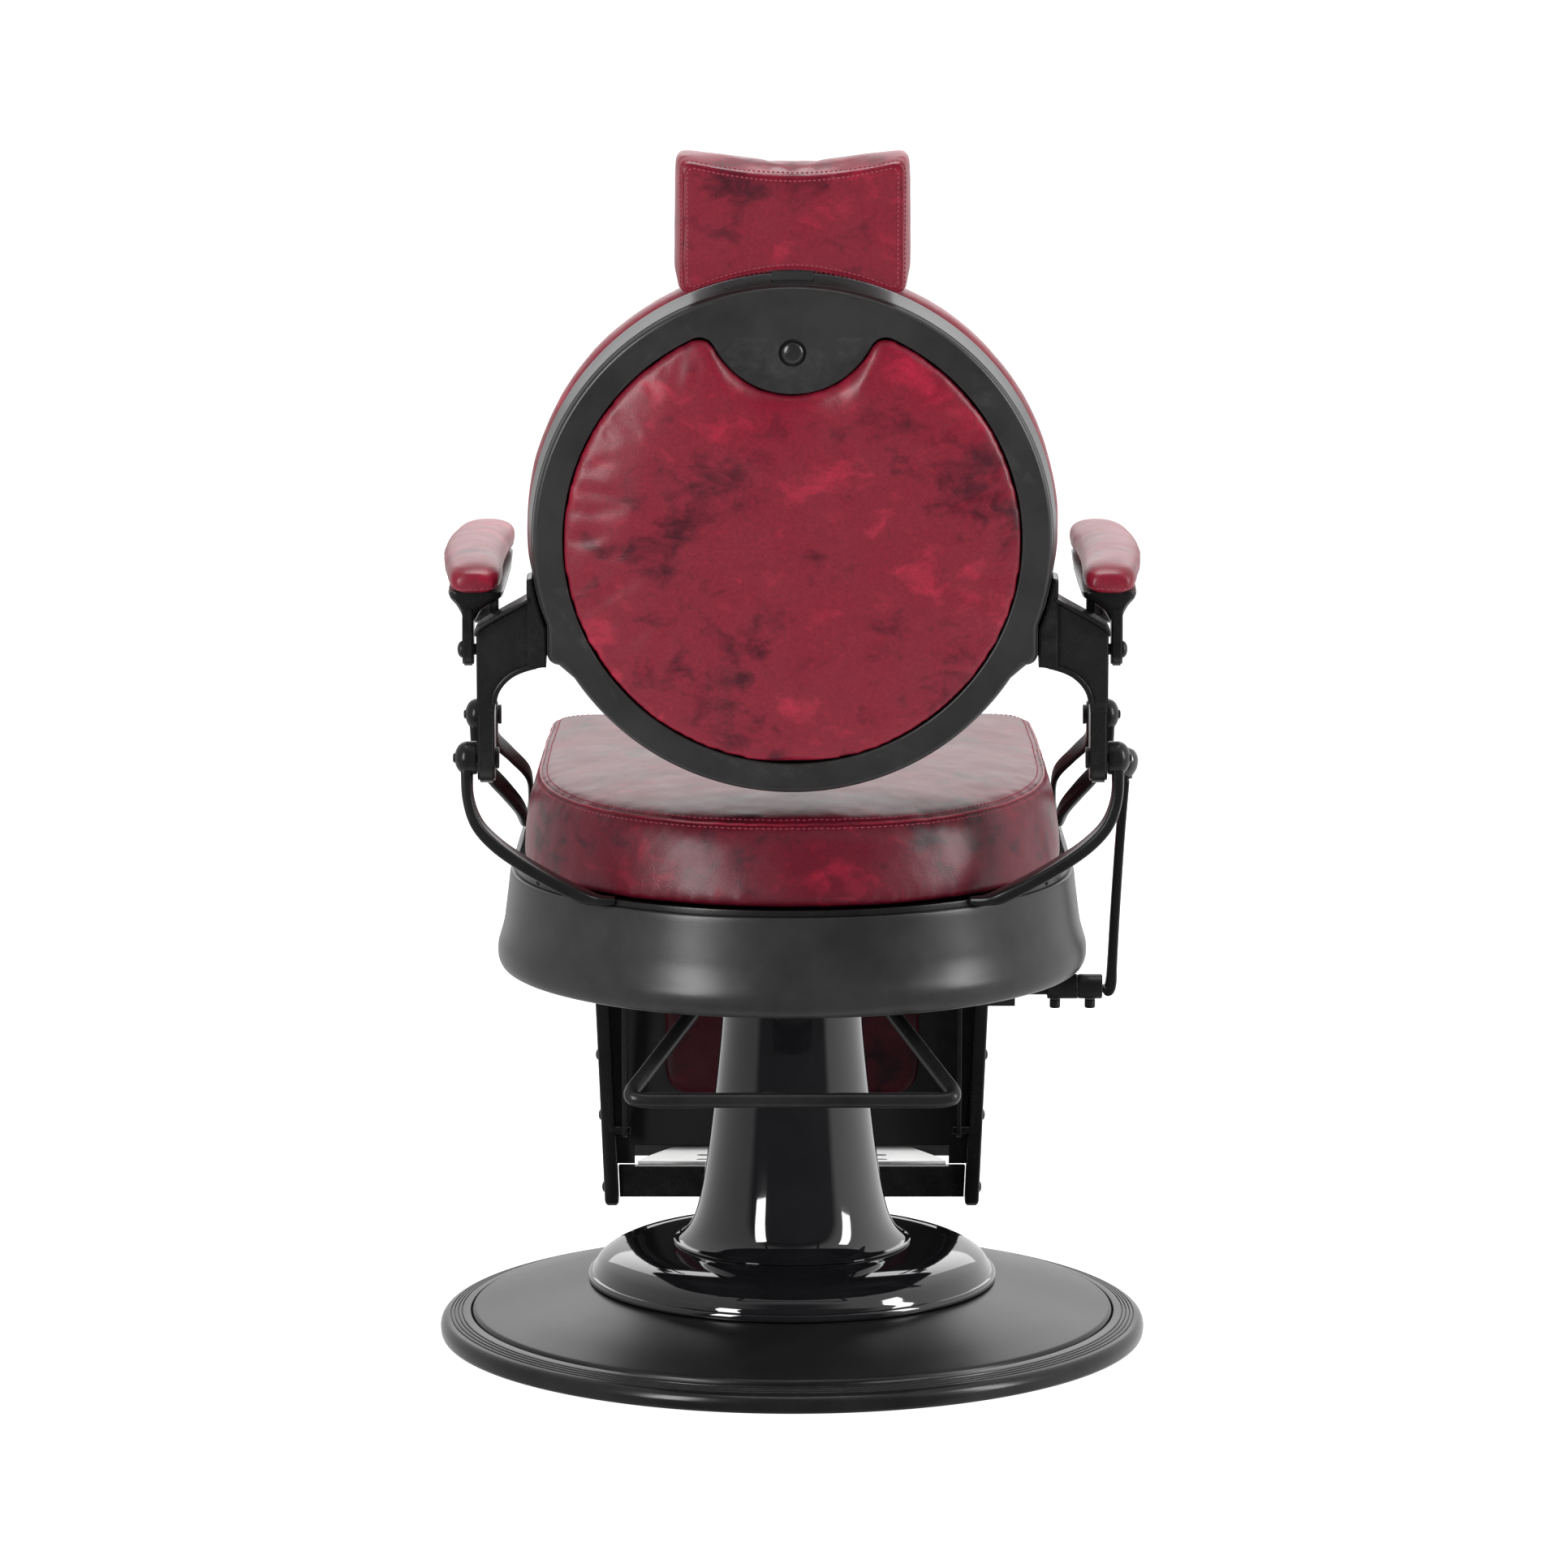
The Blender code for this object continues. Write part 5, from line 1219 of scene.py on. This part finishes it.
RAIL_PATH = ((0.1835, 0.0), (0.18, -0.082), (0.1727, -0.264))
PAD_HALF = 0.122
PAD_TOP_Z = -0.022
PAD_LOW_Z = -0.166


def rail_inner(z):
    """X of a rail's inner face at a height in the leg rest's frame."""
    for (x0, z0), (x1, z1) in zip(RAIL_PATH, RAIL_PATH[1:]):
        if z >= z1:
            return x0 + (x1 - x0) * (z - z0) / (z1 - z0) - 0.007
    return RAIL_PATH[-1][0] - 0.007


def pad_outline(grow=0.0):
    """Calf pad's outline: round corners, larger below."""
    half = PAD_HALF + grow
    right = arc((half - 0.03, PAD_LOW_Z + 0.03 - grow), 0.03, -90.0, 0.0, 16)
    right += arc((half - 0.01, PAD_TOP_Z - 0.01 + grow), 0.01, 0.0, 90.0, 8)
    return right + [(-x, z) for x, z in reversed(right)]


def leg_rod(start, end, at, radius):
    """A rod across the leg rest's frame, at a depth and height."""
    return rod(LEG @ Vector((start, *at)), LEG @ Vector((end, *at)), radius, 24)


def build_leg_rail(name, side):
    path = [(side * x, 0.0, z) for x, z in RAIL_PATH]
    rail = bar(path, (1.0, 0.0, 0.0), [0.007] * 3, [0.013, 0.012, 0.011], 0.32, per=6, place=LEG)
    low, high = span(side, 0.1765, 0.1905)
    eye = rod((low, *LEG_HINGE[1:]), (high, *LEG_HINGE[1:]), 0.015, 48, 0.001)
    stub = leg_rod(side * 0.154, side * 0.174, STAY_PIN, 0.004)
    body = unite(rail, eye, stub)
    piece(body, "leg_rest_rail_" + name, "leg_rest", SATIN, "leg_rail_" + name, smooth=40)


def build_rail_bolts(name, side):
    bolts = []
    cap = dome(0.0052, 0.0, 0.0024, 15) + [(0.0052, -0.001), (0.0, -0.001)]
    for z in (-0.06, -0.12, -0.18, -0.252):
        x = rail_inner(z) + 0.0138
        bolts.append(lathe(cap, 24, LEG @ Matrix.Translation((side * x, 0.0,
                                                              z)) @ Matrix.Rotation(side * math.pi / 2, 4,
                                                                                    "Y")))
    piece(joined(bolts), "leg_rest_bolts_" + name, "leg_rest", DARK_STEEL)


def build_stay(name, side):
    foot = Vector(STAY_PIN)
    head = Vector((-0.0222, 0.008))
    run = (head - foot).normalized()
    lean = math.degrees(math.atan2(run.y, run.x)) - 90.0
    outline = arc(foot, 0.0078, 180.0 + lean, 360.0 + lean, 18) + arc(head, 0.0078, lean, 180.0 + lean, 18)
    stay = slab(outline, *span(side, 0.1575, 0.1625), SIDE_VIEW, LEG, 0.001)
    washer = leg_rod(side * 0.1545, side * 0.1655, head, 0.005)
    piece(joined([stay, washer]), "leg_stay_" + name, "stay_" + name, DARK_STEEL, "stay_link_" + name)


def build_calf_board():
    right = [(0.1507, -0.2137), (0.1507, -0.2318)]
    right += [(rail_inner(z) + 0.002, z) for z in (-0.2318, -0.082, -0.014)]
    board = slab(right + [(-x, z) for x, z in reversed(right)], 0.0087, 0.0143, REAR_VIEW, LEG, 0.0012)
    opening = slab(pad_outline(-0.0022), 0.0, 0.03, REAR_VIEW, LEG, 0.0)
    piece(carve(board, opening), "calf_backing_board", "leg_rest", BOARD, "calf_board")


def build_calf_cushion():
    steps = ((0.0052, 0.965), (0.006, 0.99), (0.0084, 1.001), (0.015, 1.001), (0.034, 0.985), (0.039, 0.96),
             (0.0425, 0.9), (0.0435, 0.7))
    middle = (PAD_TOP_Z + PAD_LOW_Z) / 2
    pad = loft([[(x * s, depth, middle + (z - middle) * s) for x, z in pad_outline()] for depth, s in steps],
               LEG)
    inflate(pad, 0.0045, 0.0035, lambda co: 1.0 if co.y < 0.016 else 0.0, 3.0, place=LEG)
    tree = surface_of(pad)
    # The calf pad uses the darkened leather copy: painted shade for its place in shadow
    piece(pad, "calf_cushion", "leg_rest", CRIMSON_PAINTED_SHADE, "calf_pad", fill=0.85)
    edge = [LEG @ Vector((x * 0.975, 0.04, middle + (z - middle) * 0.975)) for x, z in pad_outline()]
    piece(stitching(tree, edge), "calf_stitches", "leg_rest", THREAD)


def build_crossbar():
    right = [(rail_inner(z) - 0.0006, z) for z in (-0.2618, -0.2312)]
    bar_plate = slab(right + [(-x, z) for x, z in reversed(right)], -0.0029, 0.0029, REAR_VIEW, LEG, 0.001)
    piece(bar_plate, "leg_rest_crossbar", "leg_rest", SATIN, "leg_crossbar")


def build_foot_rod():
    end = rail_inner(FOOT_HINGE[1]) - 0.0006
    piece(leg_rod(-end, end, FOOT_HINGE, 0.004), "foot_hinge_rod", "leg_rest", CHROME, "foot_rod")


FOOT_AXIS = LEG @ Vector((0.0, *FOOT_HINGE))


def build_foot_plate():
    axis = FOOT_AXIS
    far = axis.y + 0.0857
    outline = eased([(-0.148, axis.y), (0.148, axis.y), (0.147, axis.y + 0.03), (0.115, far), (-0.115, far),
                     (-0.147, axis.y + 0.03)], 0.008, 5, True)
    plate = slab(outline, axis.z - 0.0018, axis.z + 0.0024, TOP_VIEW, WORLD, 0.0008)
    knuckle = rod((-0.148, axis.y, axis.z), (0.148, axis.y, axis.z), 0.0078, 32)
    bore = rod((-0.16, axis.y, axis.z), (0.16, axis.y, axis.z), 0.0047, 24, 0.0)
    slots = []
    for row in (0.027, 0.047, 0.067):
        for column in (-1, 1):
            far_end = 0.092 if row < 0.06 else 0.078
            line = arc((far_end - 0.0035, row), 0.0035, -90.0, 90.0, 9) + arc((0.0235, row), 0.0035, 90.0,
                                                                              270.0, 9)
            slots.append(slab([(column * x, axis.y + y) for x, y in line], axis.z - 0.01, axis.z + 0.01,
                              TOP_VIEW, WORLD, 0.0))
    piece(carve(unite(plate, knuckle), bore, *slots), "foot_rest_plate", "foot", SILVER, "foot_plate")


def build_toe_bar():
    start = FOOT_AXIS.y + 0.086
    low = FOOT_AXIS.z - 0.0075
    high = FOOT_AXIS.z + 0.0105
    profile = eased([(start, low), (start + 0.01, low), (start + 0.01, high), (start, high)], 0.003, 6, True)
    piece(slab(profile, -0.16, 0.16, SIDE_VIEW, WORLD, 0.0015), "toe_rubber", "foot", RUBBER, "toe_bar")


# ---------------- CAD solids that stay, with a better finish

def carry_over():
    finishes = {"piston_rod": CHROME, "pump_housing": CAST, "seat_frame": CAST, "post_guide": CAST,
                "back_board": BOARD}
    for node, material in finishes.items():
        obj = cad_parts[node]
        for slot in obj.material_slots:
            slot.material = material


# ---------------- floor, light and camera

def build_floor():
    mesh = bpy.data.meshes.new("floor")
    half = 40.0
    mesh.from_pydata([(-half, -half, 0.0), (half, -half, 0.0), (half, half, 0.0), (-half, half, 0.0)], [],
                     [(0, 1, 2, 3)])
    floor = bpy.data.objects.new("floor", mesh)
    f = surface("floor_white")
    f.set(Base_Color=f.ramp(f.noise(3.0), ((0.3, 0.8), (0.7, 0.82))), Roughness=0.6, Specular_IOR_Level=0.2,
          Emission_Color=(1.0, 1.0, 1.0), Emission_Strength=0.74)
    mesh.materials.append(f.data)
    SCENE.collection.objects.link(floor)
    floor.visible_glossy = False


def build_sky():
    sky = Finish(bpy.data.worlds.new("studio"), "Background", "Generated")
    split = sky.node("ShaderNodeSeparateXYZ", Vector=sky.at)
    walls = sky.range(split.outputs["Y"], 0.0, 1.0, -1.0)
    sky.set(Color=sky.ramp(walls, ((0.19, 0.055), (0.25, 0.45), (1.0, 0.8))),
            Strength=sky.range(split.outputs["X"], 0.75, 1.45, -1.0))
    SCENE.world = sky.data


def build_lamps():
    lamps = (("key_left", (-2.3, -2.8, 1.6), (0.0, -0.1, 0.6), 0.8, 2.2, 78.0),
             ("key_right", (3.1, -1.2, 1.7), (0.0, -0.1, 0.6), 0.7, 2.2, 56.0),
             ("overhead", (0.0, 0.1, 3.0), (0.0, 0.0, 0.5), 1.3, 0.9, 36.0),
             ("behind", (0.0, 3.0, 1.9), (0.0, 0.0, 0.7), 3.0, 1.8, 19.0))
    for name, place, aim, wide, tall, power in lamps:
        light = bpy.data.lights.new(name, "AREA")
        light.shape = "RECTANGLE"
        light.size = wide
        light.size_y = tall
        light.energy = power
        lamp = bpy.data.objects.new(name, light)
        lamp.location = place
        lamp.rotation_euler = (Vector(aim) - Vector(place)).to_track_quat("-Z", "Y").to_euler()
        lamp.visible_camera = False
        SCENE.collection.objects.link(lamp)


def build_camera():
    lens = bpy.data.cameras.new("view")
    lens.lens = 190.9
    lens.sensor_width = 36.0
    lens.clip_end = 200.0
    camera = bpy.data.objects.new("view", lens)
    camera.location = (-0.0075, -7.5, 1.8115)
    camera.rotation_euler = (math.radians(90.0 - 9.832), 0.0, 0.0)
    SCENE.collection.objects.link(camera)
    SCENE.camera = camera
    SCENE.view_settings.view_transform = "Standard"


ORDER = (build_base_disc, build_trim_ring, build_column_shell, build_lift, build_apron, build_tray,
         (build_rear_strap, build_rear_pivot, build_outer_strap, build_inner_strap, build_front_pivot,
          build_leg_hanger), build_seat_cushion, build_pedal, build_lever_shaft, build_lever, build_back_ring,
         build_rear_panel, build_button, build_back_cushion, (build_bracket,), build_headrest,
         build_headrest_stem, (build_arm_casting, build_arm_link, build_arm_pad),
         (build_leg_rail, build_rail_bolts, build_stay), build_calf_board, build_calf_cushion, build_crossbar,
         build_foot_rod, build_foot_plate, build_toe_bar, carry_over, build_floor, build_sky, build_lamps,
         build_camera)
for step in ORDER:
    if isinstance(step, tuple):
        for side_name, side_sign in SIDES:
            for build in step:
                build(side_name, side_sign)
    else:
        step()
